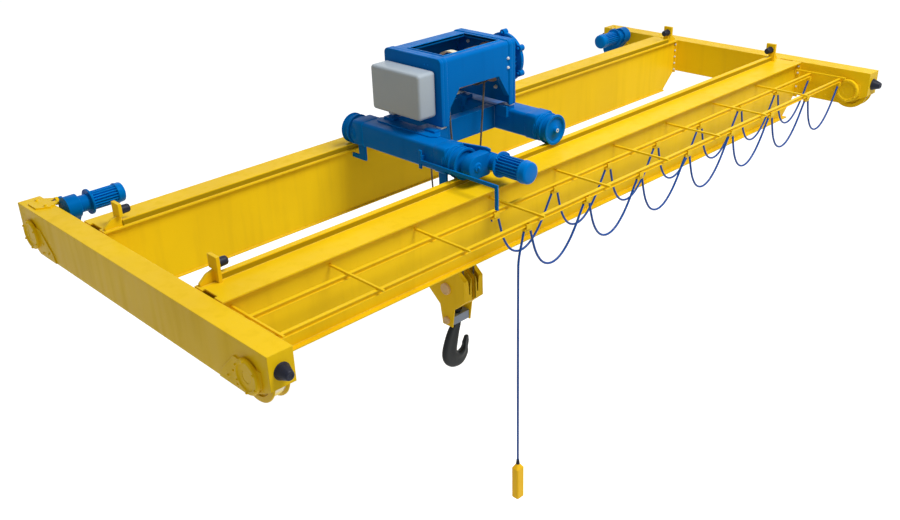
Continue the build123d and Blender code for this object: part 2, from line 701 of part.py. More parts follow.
def block_plates():
    """Two cheek plates of the hook block with the guard band round the sheaves and the sheave pin."""
    z = sheave_axis_height
    top = z + 179
    cheek = [(-150, top), (150, top), (block_half, top - 110), (block_half, z - 130), (150, z - 256), (78, z - 463),
             (-78, z - 463), (-150, z - 256), (-block_half, z - 130), (-block_half, top - 110)]
    inside = sheave_pitch / 2 + 24 + cheek_gap
    left = plate_yz([(hook_y + y, zz) for y, zz in cheek], hook_x - inside - cheek_plate, cheek_plate)
    right = plate_yz([(hook_y + y, zz) for y, zz in cheek], hook_x + inside, cheek_plate)
    band = [(-block_half, top - 110), (-block_half, z - 130), (-150, z - 256), (150, z - 256), (block_half, z - 130),
            (block_half, top - 110)]
    w = block_half - 10
    hollow = [(-w, top), (-w, z - 126), (-145, z - 246), (145, z - 246), (w, z - 126), (w, top)]
    guard = plate_yz([(hook_y + y, zz) for y, zz in band], hook_x - inside, 2 * inside)
    guard -= plate_yz([(hook_y + y, zz) for y, zz in hollow], hook_x - inside - 1, 2 * inside + 2)
    pin = rod("X", (hook_x, hook_y, z), sheave_pin_radius, 2 * (inside + cheek_plate + 6))
    body = left + right + guard + pin
    trunnion = rod("X", (hook_x, hook_y, crosshead_z), trunnion_radius + axle_fit, 2 * (inside + cheek_plate) + 4)
    return body - trunnion


def crosshead():
    """Trunnion block between the cheek plates, bored for the hook."""
    inside = sheave_pitch / 2 + 24 + cheek_gap
    body = block(hook_x - inside + 0.5, hook_x + inside - 0.5, hook_y - 68, hook_y + 68, crosshead_z - 45, crosshead_z + 45)
    body = fillet(body.edges().filter_by(Axis.Z), 18)
    body += rod("X", (hook_x, hook_y, crosshead_z), trunnion_radius, 2 * (inside + cheek_plate + 4))
    return body - rod("Z", (hook_x, hook_y, crosshead_z), shank_radius + axle_fit, 200)


def hook():
    """Forged single hook with its shank and nut."""
    top = crosshead_z + 45 + axle_fit
    low = crosshead_z - 45 - axle_fit
    neck = low - 45
    r = shank_radius
    shank = rod("Z", (hook_x, hook_y, (top + neck) / 2), r, top - neck) + rod("Z", (hook_x, hook_y, top + 19), 58, 38)
    shank += rod("Z", (hook_x, hook_y, low - 22), 60, 44)
    x, z = hook_x, throat_z
    t = throat_radius
    half = 47.0
    outer_left = ThreePointArc((x - half, neck), (x - t - 112, z + 10), (x - 5, z - t - 166))
    a0 = Line((x - half, neck + 1), (x - half, neck))
    outer_right = ThreePointArc((x - 5, z - t - 166), (x + 140, z - 165), (x + 182, z - 40))
    tip_out = Line((x + 182, z - 40), (x + 176, z + 12))
    tip = ThreePointArc((x + 176, z + 12), (x + 156, z + 27), (x + 134, z + 16))
    tip_in = Line((x + 134, z + 16), (x + t, z - 10))
    inner = ThreePointArc((x + t, z - 10), (x - t * 0.64, z - t * 0.77), (x - t * 0.5, z + t * 0.86))
    throat = ThreePointArc((x - t * 0.5, z + t * 0.86), (x + 12, z + t + 22), (x + half, neck))
    a1 = Line((x + half, neck), (x + half, neck + 1))
    close = Line((x + half, neck + 1), (x - half, neck + 1))
    curves = [a0, outer_left, outer_right, tip_out, tip, tip_in, inner, throat, a1, close]
    outline = make_face(Curve() + curves)
    bow = Pos(0, hook_y, 0) * Rot(90, 0, 0) * extrude(outline, hook_thickness / 2, both=True)
    return shank + bow


def control_box():
    """Grey box at the left end of the hoist, on four stand-offs."""
    length, depth, height = control_box_size
    x1 = frame_left - 10
    y0 = frame_front + 60
    z0 = foot_z + 110
    box = block(x1 - length, x1, y0, y0 + depth, z0, z0 + height)
    box = fillet(box.edges().filter_by(Axis.X), 30)
    for y in (y0 + 60, y0 + depth - 60):
        for z in (z0 + 60, z0 + height - 60):
            box += rod("X", (x1 + 5, y, z), 12, 10)
    return box


def hoist_gear():
    """Hoist gearbox at the right end: a lugged flange and a ribbed round cover."""
    x = frame_left + frame_length
    flange = rod("X", (x + 15, drum_y, drum_z), gear_flange_radius, 30)
    for k in range(6):
        angle = math.radians(60 * k + 30)
        flange += rod("X", (x + 15, drum_y + math.cos(angle) * gear_flange_radius,
                            drum_z + math.sin(angle) * gear_flange_radius), 28, 30)
    cover = finned(gear_radius, gear_length - 60, x + 30, (0, drum_y, drum_z), 24)
    cover += rod("X", (x + gear_length - 15, drum_y, drum_z), gear_radius - 14, 30)
    return flange + cover


def tow_arm():
    """Bent bar from the left end beam out over the arms of the lattice."""
    x1 = left_axle_x - trolley_wheel_radius - trolley_flange_depth - tow_arm_gap
    x0 = x1 - tow_arm_bar / 2
    half = tow_arm_bar / 2
    upright = block(x0, x1, tow_arm_root - half, tow_arm_root + half, beam_bottom + 6, tow_arm_z + 100)
    upright += block(x1, left_axle_x - beam_width / 2, tow_arm_root - half, tow_arm_root + half,
                     beam_bottom + 60, beam_bottom + 120)
    bar = block(x0, x1, tow_arm_end, tow_arm_root, tow_arm_z - half, tow_arm_z + half)
    drop = block(x0, x1, tow_arm_end, tow_arm_end + tow_arm_bar, arm_top + tow_arm_clear, tow_arm_z)
    return upright + bar + drop


def pendant():
    """Push-button pendant: eight-sided body with a tapered cap at the cable."""
    top = pendant_top
    x, y = pendant_x, outer_track_y
    section = Plane(origin=(x, y, top - pendant_length)) * RectangleRounded(pendant_width, pendant_width * 0.84, 16)
    body = extrude(section, pendant_length - 40)
    base = Plane(origin=(x, y, top - 40)) * RectangleRounded(pendant_width, pendant_width * 0.84, 16)
    tip = Plane(origin=(x, y, top)) * Circle(cable_radius + 8)
    return body + loft([base, tip])


def pendant_cable():
    """Cable from the pendant's carrier down to the pendant, straight under its weight."""
    x, y = pendant_x, outer_track_y
    z = saddle_bottom
    points = [(x + 65, y, z), (x + 50, y, z - 70), (x + 26, y, z - 140), (x + 8, y, z - 220), (x, y, z - 310),
              (x, y, pendant_top)]
    return cable_tube(points, cable_radius)


print("bridge")
left = carriage()
save(left, "left_carriage")
save(mirror_span(left), "right_carriage")
left_bearings = bearings()
save(left_bearings, "left_wheel_bearings")
save([mirror_span(s) for s in left_bearings], "right_wheel_bearings")
driven_length = drive_gap + drive_gear_depth - 10
for name, y, extra in (("front", 0.0, 0.0), ("rear", wheel_base, driven_length)):
    wheel = travel_wheel(y, extra)
    save(wheel, f"left_{name}_travel_wheel")
    save(mirror_span(wheel), f"right_{name}_travel_wheel")
box, cap = girder()
save(box, "front_girder_box")
save(cap, "front_girder_top_plate")
save(mirror_depth(box), "rear_girder_box")
save(mirror_depth(cap), "rear_girder_top_plate")
rail_start = inner_face + stop_distance + stop_plate + 2
rail = block(rail_start, span - rail_start, front_rail_y - rail_size / 2, front_rail_y + rail_size / 2,
             carriage_top, rail_top)
save(rail, "front_trolley_rail")
save(mirror_depth(rail), "rear_trolley_rail")
stop = trolley_stop()
stops = [stop, mirror_depth(stop)]
save(stops + [mirror_span(s) for s in stops], "trolley_stops")
save(buffers(), "rubber_buffers")
gearbox, motor = travel_drive()
save(gearbox, "left_travel_gearbox")
save(motor, "left_travel_motor")
save(mirror_span(gearbox), "right_travel_gearbox")
save(mirror_span(motor), "right_travel_motor")
bracket = torque_bracket()
save([bracket, mirror_span(bracket)], "torque_brackets")
save(festoon_arms(), "festoon_arms")
save(festoon_track(inner_track_y), "inner_festoon_track")
save(festoon_track(outer_track_y), "outer_festoon_track")
save([end_clamp(inner_track_y), end_clamp(outer_track_y)], "festoon_end_clamps")
save(hung_cable(inner_track_y), "inner_cable")
save(hung_cable(outer_track_y), "outer_cable")
gap_middle = (loop_chord + loop_pitch) / 2
places = [loop_start + gap_middle + loop_pitch * k for k in range(loop_count - 1)]
pendant_carrier_x = loop_start + gap_middle - loop_pitch
save([carrier(x, outer_track_y) for x in [pendant_carrier_x] + places], "outer_carriers")
save(pendant_cable(), "pendant_cable")
save(pendant(), "pendant_control")
for k in range(1, loop_count):
    save(carrier(places[loop_count - 1 - k], inner_track_y), f"cable_carrier_{k}")
save(carrier(pendant_carrier_x, inner_track_y), "tow_carriage")

print("trolley")
save(trolley_beam(left_axle_x), "left_trolley_beam")
save(trolley_beam(right_axle_x), "right_trolley_beam")
save(trolley_wheels(left_axle_x), "left_trolley_wheels")
save(trolley_wheels(right_axle_x), "right_trolley_wheels")
gearbox, motor = trolley_drive()
save(gearbox, "trolley_gearbox")
save(motor, "trolley_motor")
save(cross_frame(), "trolley_cross_frame")
save(shims(), "hoist_shims")
save(tow_arm(), "tow_arm")

print("hoist")
save(hoist_frame(), "hoist_frame")
save([drum(), rope_wraps(drum_leads[0] - 60, 5), rope_wraps(drum_leads[1] + 60, 5)], "rope_drum")
save(rope_guide(), "rope_guide")
save(rope_anchor(), "rope_anchor")
save(control_box(), "control_box")
save(hoist_gear(), "hoist_gearbox")
save(rope_falls(), "hoist_ropes")

print("hook block")
save(sheave_ropes(), "sheave_ropes")
save(sheaves(), "rope_sheaves")
save(block_plates(), "hook_block_plates")
save(crosshead(), "hook_crosshead")
save(hook(), "load_hook")
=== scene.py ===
# %% [markdown]
# # A double-girder bridge crane
# The crane hangs from its runway rails, a trolley with a wire rope hoist rolls on top of the two girders,
# and two festoons of blue cable run along the front girder. The rigid pieces come ready made in the frame.
# This lesson gives them their paint and steel, and makes anew what plain solids can't show well: hanging
# cables, laid rope, the hoist, the trolley's beams, the hook and its block, bolts and weld seams.

# %% Load the frame
import math

import bpy
import numpy as np
from mathutils import Matrix, Vector


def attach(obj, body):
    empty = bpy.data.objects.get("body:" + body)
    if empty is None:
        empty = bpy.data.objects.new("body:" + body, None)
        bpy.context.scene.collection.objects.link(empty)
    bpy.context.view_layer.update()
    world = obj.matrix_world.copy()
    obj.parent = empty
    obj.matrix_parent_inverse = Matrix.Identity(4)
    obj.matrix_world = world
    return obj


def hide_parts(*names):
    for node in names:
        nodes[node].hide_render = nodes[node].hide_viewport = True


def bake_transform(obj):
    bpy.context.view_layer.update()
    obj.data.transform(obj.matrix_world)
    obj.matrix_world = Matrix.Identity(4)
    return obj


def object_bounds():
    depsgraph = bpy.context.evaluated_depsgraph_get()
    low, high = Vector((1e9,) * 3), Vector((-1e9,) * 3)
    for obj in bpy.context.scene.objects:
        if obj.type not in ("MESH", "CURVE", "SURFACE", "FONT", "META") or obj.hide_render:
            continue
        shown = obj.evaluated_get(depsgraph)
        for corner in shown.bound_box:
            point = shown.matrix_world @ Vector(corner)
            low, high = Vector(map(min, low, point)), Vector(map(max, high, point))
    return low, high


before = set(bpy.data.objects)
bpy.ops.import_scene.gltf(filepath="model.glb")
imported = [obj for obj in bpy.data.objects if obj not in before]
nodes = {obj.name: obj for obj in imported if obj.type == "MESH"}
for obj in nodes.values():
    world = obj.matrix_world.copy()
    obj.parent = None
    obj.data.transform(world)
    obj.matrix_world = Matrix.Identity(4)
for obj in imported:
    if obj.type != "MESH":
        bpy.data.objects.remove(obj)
cad_low, cad_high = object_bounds()
span, wheel_base = 7.98, 3.186
middle_y = wheel_base / 2
print("nodes", len(nodes), "box", [round(v, 3) for v in (*cad_low, *cad_high)])

# %% [markdown]
# ## The camera
# The photograph looks down on the crane from the front left. Its long parallel edges give the focal length,
# the direction and the place of the camera, so the camera is set from numbers and not by eye.
# A small lens shift puts the picture's own middle where the photograph has it.

# %% Camera
camera_place = Vector((-2.7549, -4.6439, 3.4903))
view_right = Vector((0.72068, -0.69235, -0.03568))
view_down = Vector((-0.33675, -0.30462, -0.89096))
view_ahead = Vector((0.60598, 0.65411, -0.45268))


def link(name, data):
    """An object for its data, in the scene, at the origin."""
    made = bpy.data.objects.new(name, data)
    bpy.context.scene.collection.objects.link(made)
    return made


lens = bpy.data.cameras.new("photo_camera")
lens.sensor_width, lens.lens, lens.clip_end = 36.0, 39.32, 200.0
lens.shift_x, lens.shift_y = 0.0121, 0.0155
camera = link("photo_camera", lens)
camera.matrix_world = (Matrix.Translation(camera_place)
                       @ Matrix((view_right, -view_down, -view_ahead)).transposed().to_4x4())
bpy.context.scene.camera = camera
print("focal length", round(lens.lens, 2))

# %% [markdown]
# ## Surfaces from numbers
# Every new piece is a grid of points worked out at once with numpy. One helper turns a grid into a mesh,
# one carries a round section along a path, and one spins a profile about an axis. The faces are listed so
# that they look outwards, because light and baking both depend on it.

# %% A grid becomes a mesh
sharp_angle = math.radians(32)


def grid_mesh(name, grids, cap=True, smooth=True):
    """One mesh from grids of points[along, around, xyz], each closed round its second axis.

    Axes in front of these are copies. Both ends are capped, unless the last ring meets the first.
    """
    grids = grids if isinstance(grids, list) else [grids]
    grids = [one for grid in grids for one in grid.reshape(-1, *grid.shape[-3:])]
    faces, first = [], 0
    for grid in grids:
        nu, nv = grid.shape[:2]
        u, v = (g.ravel() for g in np.meshgrid(np.arange(nu - 1), np.arange(nv), indexing="ij"))
        v1 = (v + 1) % nv
        quads = np.stack([u * nv + v, u * nv + v1, (u + 1) * nv + v1, (u + 1) * nv + v], 1)
        faces.extend((quads + first).tolist())
        if cap and not np.allclose(grid[0], grid[-1]):
            faces.append(list(range(first + nv - 1, first - 1, -1)))
            faces.append(list(range(first + (nu - 1) * nv, first + nu * nv)))
        first += nu * nv
    mesh = bpy.data.meshes.new(name)
    mesh.from_pydata(np.concatenate([grid.reshape(-1, 3) for grid in grids]).tolist(), [], faces)
    mesh.polygons.foreach_set("use_smooth", [smooth] * len(mesh.polygons))
    if smooth:
        mesh.set_sharp_from_angle(angle=sharp_angle)
    mesh.update()
    print(name, len(faces), "faces")
    return link(name, mesh)


# %% Tubes and turned shapes


def circle(count):
    """Angles of points spaced evenly round a circle."""
    return np.linspace(0, 2 * np.pi, count, endpoint=False)


def frames_along(path):
    """For each point of a path, two unit vectors across it that turn as little as they can."""
    ahead = np.gradient(path, axis=0)
    ahead /= np.linalg.norm(ahead, axis=1)[:, None]
    side = np.cross(ahead[0], [0.0, 1.0, 0.0])
    if np.linalg.norm(side) < 0.1:
        side = np.cross(ahead[0], [1.0, 0.0, 0.0])
    sides = [side / np.linalg.norm(side)]
    for direction in ahead[1:]:
        side = sides[-1] - direction * (sides[-1] @ direction)
        sides.append(side / np.linalg.norm(side))
    sides = np.array(sides)
    return sides, np.cross(ahead, sides)


def tube_points(path, radius, around=16):
    """A round section carried along a path: centre + radius (cos a side + sin a up)."""
    sides, ups = frames_along(path)
    a = circle(around)[:, None]
    return path[:, None] + radius * (np.cos(a) * sides[:, None] + np.sin(a) * ups[:, None])


def spun(profile, places, axis, around=48, radius_at=1.0):
    """A profile of (along, radius) pairs spun about an axis through one place or several."""
    along = np.array(Vector(axis).normalized())
    side = np.array(Vector(axis).orthogonal().normalized())
    t, r = np.array(profile, float).T[:, :, None, None]
    a = circle(around)[:, None]
    one = t * along + r * radius_at * (np.cos(a) * side + np.sin(a) * np.cross(along, side))
    return np.atleast_2d(np.array(places, float))[:, None, None] + one


# %% [markdown]
# Plates and castings are outlines carried along an axis. At both ends the outline shrinks a little, by
# r (1 - sin t) at a depth of r (1 - cos t), which gives a chamfer in one step or a round in several.

# %% Outlines and prisms


def rounded(a0, a1, b0, b1, radii, steps=6):
    """A rectangle, counter-clockwise, with a quarter circle about its own centre at each corner."""
    corners = zip((a0, a1, a1, a0), (b0, b0, b1, b1), (180, 270, 0, 90), np.broadcast_to(radii, 4))
    points = []
    for a, b, turn, r in corners:
        t = np.radians(turn + np.linspace(0, 90, steps))
        centre = (a + (r if a == a0 else -r), b + (r if b == b0 else -r))
        points.append(np.stack([centre[0] + r * np.cos(t), centre[1] + r * np.sin(t)], 1))
    return np.concatenate(points)


def upright_arch(a0, a1, b0, b1, r, thick, steps=7):
    """An upside-down U with rounded shoulders: the outer line up and over, then the inner line back."""
    t = np.radians(np.linspace(180, 90, steps))

    def line(inset):
        q = r - inset
        left = np.stack([a0 + r + q * np.cos(t), b1 - r + q * np.sin(t)], 1)
        right = np.stack([a1 - r - q * np.cos(t[::-1]), b1 - r + q * np.sin(t[::-1])], 1)
        return np.concatenate([[(a0 + inset, b0)], left, right, [(a1 - inset, b0)]])

    return np.concatenate([line(0.0), line(thick)[::-1]])


def inset_by(outline, amount):
    """Each corner moved inwards along (n1 + n2) / (1 + n1.n2), where n1 and n2 are its edges' normals."""
    edge = np.roll(outline, -1, 0) - outline
    normal = np.stack([-edge[:, 1], edge[:, 0]], 1) / np.linalg.norm(edge, axis=1)[:, None]
    before = np.roll(normal, 1, 0)
    return outline + amount * (normal + before) / (1 + (normal * before).sum(1))[:, None]


def placed(rings, along, axis):
    """Rings of two coordinates with a third along X, Y or Z, wound so that the faces look outwards."""
    along = np.broadcast_to(np.asarray(along, float)[:, None], rings.shape[:2])
    a, b = rings[..., 0], rings[..., 1]
    points = np.stack({"X": (along, a, b), "Y": (a, along, b), "Z": (a, b, along)}[axis], -1)
    return points[:, ::-1] if axis == "Y" else points


def prism(outline, axis, low, high, edge=0.0, steps=1):
    """An outline carried from low to high along an axis, with its end edges chamfered or rounded."""
    outline = np.asarray(outline, float)
    after = np.roll(outline, -1, 0)
    if (outline[:, 0] * after[:, 1] - outline[:, 1] * after[:, 0]).sum() < 0:
        outline = outline[::-1]
    t = np.linspace(0, np.pi / 2, steps + 1) if edge else np.array([np.pi / 2])
    depth, amount = edge * (1 - np.cos(t)) if edge else np.zeros(1), edge * (1 - np.sin(t))
    rings = np.array([inset_by(outline, k) for k in np.concatenate([amount, amount[::-1]])])
    return placed(rings, np.concatenate([low + depth, (high - depth)[::-1]]), axis)


def frame_ring(outer, inner, axis, low, high):
    """A closed ring between two outlines of equal count: out, over, in and under."""
    return placed(np.array([inner, outer, outer, inner, inner]), [low, low, high, high, low], axis)


def mirror_x(points, middle=span / 2):
    """The same grid on the other side of a plane across x, wound the other way round."""
    return (points * [-1, 1, 1] + [2 * middle, 0, 0])[..., ::-1, :]


def both_sides(grids):
    """Grids and their mirror images about the plane midway between the girders."""
    return grids + [(g * [1, -1, 1] + [0, wheel_base, 0])[..., ::-1, :] for g in grids]


# %% [markdown]
# ## Finishes
# Effects that several finishes share are node groups that put out colours, masks and normals. The first one
# rounds every edge: sprayed steel never has a knife edge, and the light line along each edge of the girders
# is what makes them read as plate. The Bevel node looks at the neighbouring faces and blends their normals,
# and where its normal differs from the flat one there is an edge, which gives a mask for thinner paint.

# %% Node helpers


def feed(tree, node, inputs):
    """Set a node's inputs, or link them where a socket is given. A colour gets full opacity."""
    for key, value in inputs.items():
        socket = node.inputs[key]
        if isinstance(value, bpy.types.NodeSocket):
            tree.links.new(value, socket)
        else:
            socket.default_value = (*value, 1.0) if socket.type == "RGBA" else value


def add_node(tree, kind, inputs=None, **settings):
    """A new node with its settings and inputs. What comes back is its outputs."""
    made = tree.nodes.new(kind)
    for key, value in settings.items():
        setattr(made, key, value)
    feed(tree, made, inputs or {})
    return made.outputs


def new_group(name, inputs, outputs):
    """An empty shader group with named sockets: the tree, what it is given, and its output node."""
    tree = bpy.data.node_groups.new(name, "ShaderNodeTree")
    for title, value in inputs.items():
        kind = "NodeSocketColor" if isinstance(value, tuple) else "NodeSocketFloat"
        tree.interface.new_socket(title, in_out="INPUT", socket_type=kind).default_value = value
    kinds = {"Colour": "NodeSocketColor", "Normal": "NodeSocketVector"}
    for title in outputs:
        tree.interface.new_socket(title, in_out="OUTPUT", socket_type=kinds.get(title, "NodeSocketFloat"))
    return tree, tree.nodes.new("NodeGroupInput").outputs, tree.nodes.new("NodeGroupOutput")


def mixed(tree, factor, a, b):
    """Colour a turned into colour b by a factor."""
    return add_node(tree, "ShaderNodeMix", {0: factor, 6: a, 7: b}, data_type="RGBA")[2]


def ramp(tree, value, low, high, out_low=0.0, out_high=1.0):
    """A value moved from one range to another, and kept inside it."""
    return add_node(tree, "ShaderNodeMapRange", {"Value": value, "From Min": low, "From Max": high,
                                                 "To Min": out_low, "To Max": out_high})[0]


def calc(tree, operation, a, b=0.0):
    """One step of arithmetic."""
    return add_node(tree, "ShaderNodeMath", {0: a, 1: b}, operation=operation)[0]


def noise(tree, vector, scale, detail=2.0):
    """Soft noise between 0 and 1 on a vector."""
    return add_node(tree, "ShaderNodeTexNoise", {"Vector": vector, "Scale": scale, "Detail": detail})["Fac"]


def on_piece(tree):
    """The place on the piece, in metres."""
    return add_node(tree, "ShaderNodeTexCoord")["Object"]


def flat_normal(tree):
    """The normal of the mesh itself."""
    return add_node(tree, "ShaderNodeNewGeometry")["Normal"]


# %% Rounded edges


def rounded_edges():
    """Normals blended over a radius, and a mask of where that changes them."""
    tree, given, out = new_group("rounded_edges", {"Radius": 0.005}, ["Edge", "Normal"])
    bevel = add_node(tree, "ShaderNodeBevel", {"Radius": given["Radius"]}, samples=6)[0]
    same = add_node(tree, "ShaderNodeVectorMath", {0: bevel, 1: flat_normal(tree)}, operation="DOT_PRODUCT")
    feed(tree, out, {"Edge": ramp(tree, same["Value"], 0.99, 0.86), "Normal": bevel})
    return tree


edge_group = rounded_edges()
print("group", edge_group.name)

# %% [markdown]
# Paint on a machine isn't one colour. It was sprayed in passes, so it is a little thicker and darker in
# broad patches, dust streaks run down its sides, and its skin has the faint waviness of rolled plate.

# %% Sprayed paint
grey = (0.5, 0.5, 0.5, 1.0)


def sprayed_paint():
    """Patches, streaks and thin edges for the colour, with roughness and height to match."""
    inputs = {"Paint": grey, "Shade": grey, "Thin": grey, "Edge": 0.0, "Wear": 0.5, "Gloss": 0.35}
    tree, given, out = new_group("sprayed_paint", inputs, ["Colour", "Roughness", "Height"])
    place = on_piece(tree)
    patches = noise(tree, place, 1.1, 3.0)
    long_way = add_node(tree, "ShaderNodeMapping", {"Vector": place, "Scale": (7.0, 7.0, 0.6)})[0]
    streaks = noise(tree, long_way, 1.6, 4.0)
    speck = noise(tree, place, 46.0, 3.0)
    colour = given["Paint"]
    for mask, low, high, most in ((patches, 0.38, 0.72, 0.42), (streaks, 0.52, 0.80, 0.38),
                                  (speck, 0.60, 0.80, 0.16)):
        colour = mixed(tree, ramp(tree, mask, low, high, 0.0, most), colour, given["Shade"])
    thin = calc(tree, "MULTIPLY", given["Edge"], given["Wear"])
    thin = calc(tree, "MULTIPLY", thin, ramp(tree, speck, 0.25, 0.6, 0.55, 1.0))
    waves = calc(tree, "MULTIPLY", noise(tree, place, 2.6, 1.0), 0.9)
    peel = calc(tree, "MULTIPLY", noise(tree, place, 330.0, 1.0), 0.05)
    feed(tree, out, {"Colour": mixed(tree, thin, colour, given["Thin"]),
                     "Roughness": calc(tree, "ADD", given["Gloss"], ramp(tree, streaks, 0.4, 0.75, -0.04, 0.10)),
                     "Height": calc(tree, "ADD", waves, peel)})
    return tree


paint_group = sprayed_paint()
print("group", paint_group.name)

# %% [markdown]
# Cast and forged iron has a pitted skin, and rubber and cable sheath have a fine even grain, so they share
# one other group. Its scale sets which of the two it looks like. A last group marks a band, such as the
# tread of a wheel.

# %% Cast and moulded skins, and bands
band_softness = 0.003


def grained_skin():
    """Two colours mixed by a coarse and a fine noise of the same family."""
    inputs = {"Body": grey, "Bloom": grey, "Grain": 60.0, "Gloss": 0.5}
    tree, given, out = new_group("grained_skin", inputs, ["Colour", "Roughness", "Height"])
    broad = noise(tree, on_piece(tree), 7.0, 3.0)
    fine = noise(tree, on_piece(tree), given["Grain"], 3.0)
    colour = mixed(tree, ramp(tree, broad, 0.42, 0.72, 0.0, 0.55), given["Body"], given["Bloom"])
    feed(tree, out, {"Colour": mixed(tree, ramp(tree, fine, 0.5, 0.75, 0.0, 0.45), colour, given["Bloom"]),
                     "Roughness": calc(tree, "ADD", given["Gloss"], ramp(tree, fine, 0.3, 0.7, -0.06, 0.10)),
                     "Height": fine})
    return tree


def band_mask():
    """1 where a value lies within a half width of a centre, with a soft border."""
    tree, given, out = new_group("band_mask", {"Value": 0.0, "Centre": 0.0, "Half": 0.1}, ["Mask"])
    away = calc(tree, "ABSOLUTE", calc(tree, "SUBTRACT", given["Value"], given["Centre"]))
    into = calc(tree, "DIVIDE", calc(tree, "SUBTRACT", given["Half"], away), band_softness)
    feed(tree, out, {"Mask": ramp(tree, into, -0.5, 0.5)})
    return tree


grain_group = grained_skin()
band_group = band_mask()
print("groups", grain_group.name, band_group.name)

# %% Build a finish from the groups


def start_material(name):
    """A new material with one Principled shader: the material, its tree and the shader."""
    material = bpy.data.materials.new(name)
    material.use_nodes = True
    return material, material.node_tree, material.node_tree.nodes["Principled BSDF"]


def use_group(tree, group, inputs):
    """What a group placed in a material puts out."""
    return add_node(tree, "ShaderNodeGroup", inputs, node_tree=group)


def bumped(tree, height, normal, distance, strength):
    """A Bump node on top of another normal."""
    return add_node(tree, "ShaderNodeBump", {"Height": height, "Normal": normal, "Distance": distance,
                                             "Strength": strength})[0]


def painted(name, colours, gloss=0.36, wear=0.45, radius=0.005, shine=0.15, bare=None):
    """Sprayed paint on steel, in three colours: the paint, its shade, and where it is thin.

    bare(tree) may give a mask, the colour that shows there instead, and how metallic that is.
    """
    material, tree, shader = start_material(name)
    paint, shade, thin = colours
    edges = use_group(tree, edge_group, {"Radius": radius})
    film = use_group(tree, paint_group, {"Paint": paint, "Shade": shade, "Thin": thin, "Wear": wear,
                                         "Gloss": gloss, "Edge": edges["Edge"]})
    colour, rough = film["Colour"], film["Roughness"]
    if bare:
        mask, under, metal = bare(tree)
        colour = mixed(tree, mask, colour, under)
        rough = ramp(tree, mask, 0.0, 1.0, gloss, 0.26 if metal else gloss)
        feed(tree, shader, {"Metallic": ramp(tree, mask, 0.0, 1.0, 0.0, metal)})
    feed(tree, shader, {"Base Color": colour, "Roughness": rough, "Specular IOR Level": shine,
                        "Specular Tint": thin,
                        "Normal": bumped(tree, film["Height"], edges["Normal"], 0.004, 0.35)})
    return material


def grained(name, body, bloom, grain, gloss, metallic=0.0, relief=0.0006, radius=0.003, light_edge=None):
    """Cast, forged, rubber or moulded finish from the grain group."""
    material, tree, shader = start_material(name)
    edges = use_group(tree, edge_group, {"Radius": radius})
    skin = use_group(tree, grain_group, {"Body": body, "Bloom": bloom, "Grain": grain, "Gloss": gloss})
    colour = skin["Colour"]
    if light_edge:
        colour = mixed(tree, calc(tree, "MULTIPLY", edges["Edge"], 0.6), colour, light_edge)
    feed(tree, shader, {"Base Color": colour, "Roughness": skin["Roughness"], "Metallic": metallic,
                        "Specular IOR Level": 0.22,
                        "Normal": bumped(tree, skin["Height"], edges["Normal"], relief, 0.6)})
    return material


# %% [markdown]
# Some pieces show two finishes. A travel wheel is painted but its tread is rolled bright, the sides of each rail
# get painted shade, a darker olive than the top, and the rope guide's nylon ring hangs from a bar in the
# colour of the frame. A mask on the place tells them apart.

# %% Where another colour shows
travel_radius = 0.187
drum_y, drum_z = 1.583, 1.108


def coordinate(tree):
    """The three parts of the place on the piece."""
    return add_node(tree, "ShaderNodeSeparateXYZ", {0: on_piece(tree)})


def distance_to(tree, a, b, a0, b0):
    """Distance in a plane from the point a0, b0."""
    squares = []
    for value, zero in ((a, a0), (b, b0)):
        away = calc(tree, "SUBTRACT", value, zero)
        squares.append(calc(tree, "MULTIPLY", away, away))
    return calc(tree, "SQRT", calc(tree, "ADD", *squares))


def travel_tread(axle_y):
    """Steel on the tread of a travel wheel at either end of the span."""
    def mask(tree):
        x, y, z = coordinate(tree)
        far = distance_to(tree, y, z, axle_y, travel_radius)
        from_middle = calc(tree, "ABSOLUTE", calc(tree, "SUBTRACT", x, span / 2))
        bands = [use_group(tree, band_group, {"Value": value, "Centre": centre, "Half": half})["Mask"]
                 for value, centre, half in ((far, travel_radius, 0.010), (from_middle, span / 2, 0.043))]
        return calc(tree, "MULTIPLY", *bands), (0.50, 0.49, 0.47), 0.9
    return mask


def off_the_drum(tree):
    """The bar that holds the rope guide, which is painted like the frame."""
    x, y, z = coordinate(tree)
    return ramp(tree, distance_to(tree, y, z, drum_y, drum_z), 0.1985, 0.1995), (0.0, 0.13, 0.44), 0.0


def rail_painted_shade(tree):
    """Painted shade on the sides of a rail: a darker olive below its top."""
    # Painted shade: below z 0.45 m the rail's sides take a darker olive than its yellow top.
    return ramp(tree, coordinate(tree)[2], 0.452, 0.448), (0.37, 0.245, 0.004), 0.0


# %% [markdown]
# The paints themselves. The yellow is warm and strong on top and turns olive where it is thick or dusty, and
# the blue is deep with pale worn edges. Both are a little glossy. The control box is silver-grey.

# %% The finishes of this crane
yellow = ((0.90, 0.585, 0.006), (0.70, 0.43, 0.008), (1.0, 0.76, 0.07))
blue = ((0.0, 0.142, 0.48), (0.0, 0.102, 0.36), (0.0, 0.30, 0.82))
silver = ((0.39, 0.45, 0.50), (0.32, 0.37, 0.42), (0.85, 0.87, 0.89))
slate = ((0.30, 0.36, 0.46), (0.22, 0.27, 0.36), (0.50, 0.56, 0.66))
amber = ((0.95, 0.56, 0.02), (0.74, 0.40, 0.02), (1.0, 0.75, 0.2))
pale_zinc = ((0.72, 0.76, 0.74), (0.52, 0.57, 0.56), (0.92, 0.94, 0.93))
cream = ((0.80, 0.74, 0.56), (0.66, 0.60, 0.45), (0.92, 0.88, 0.76))
crane_yellow = painted("crane_yellow", yellow, 0.42, radius=0.007)
fine_yellow = painted("fine_yellow", yellow, 0.40, 0.6, 0.003)
machine_blue = painted("machine_blue", blue, 0.38, 0.7, 0.006, shine=0.07)
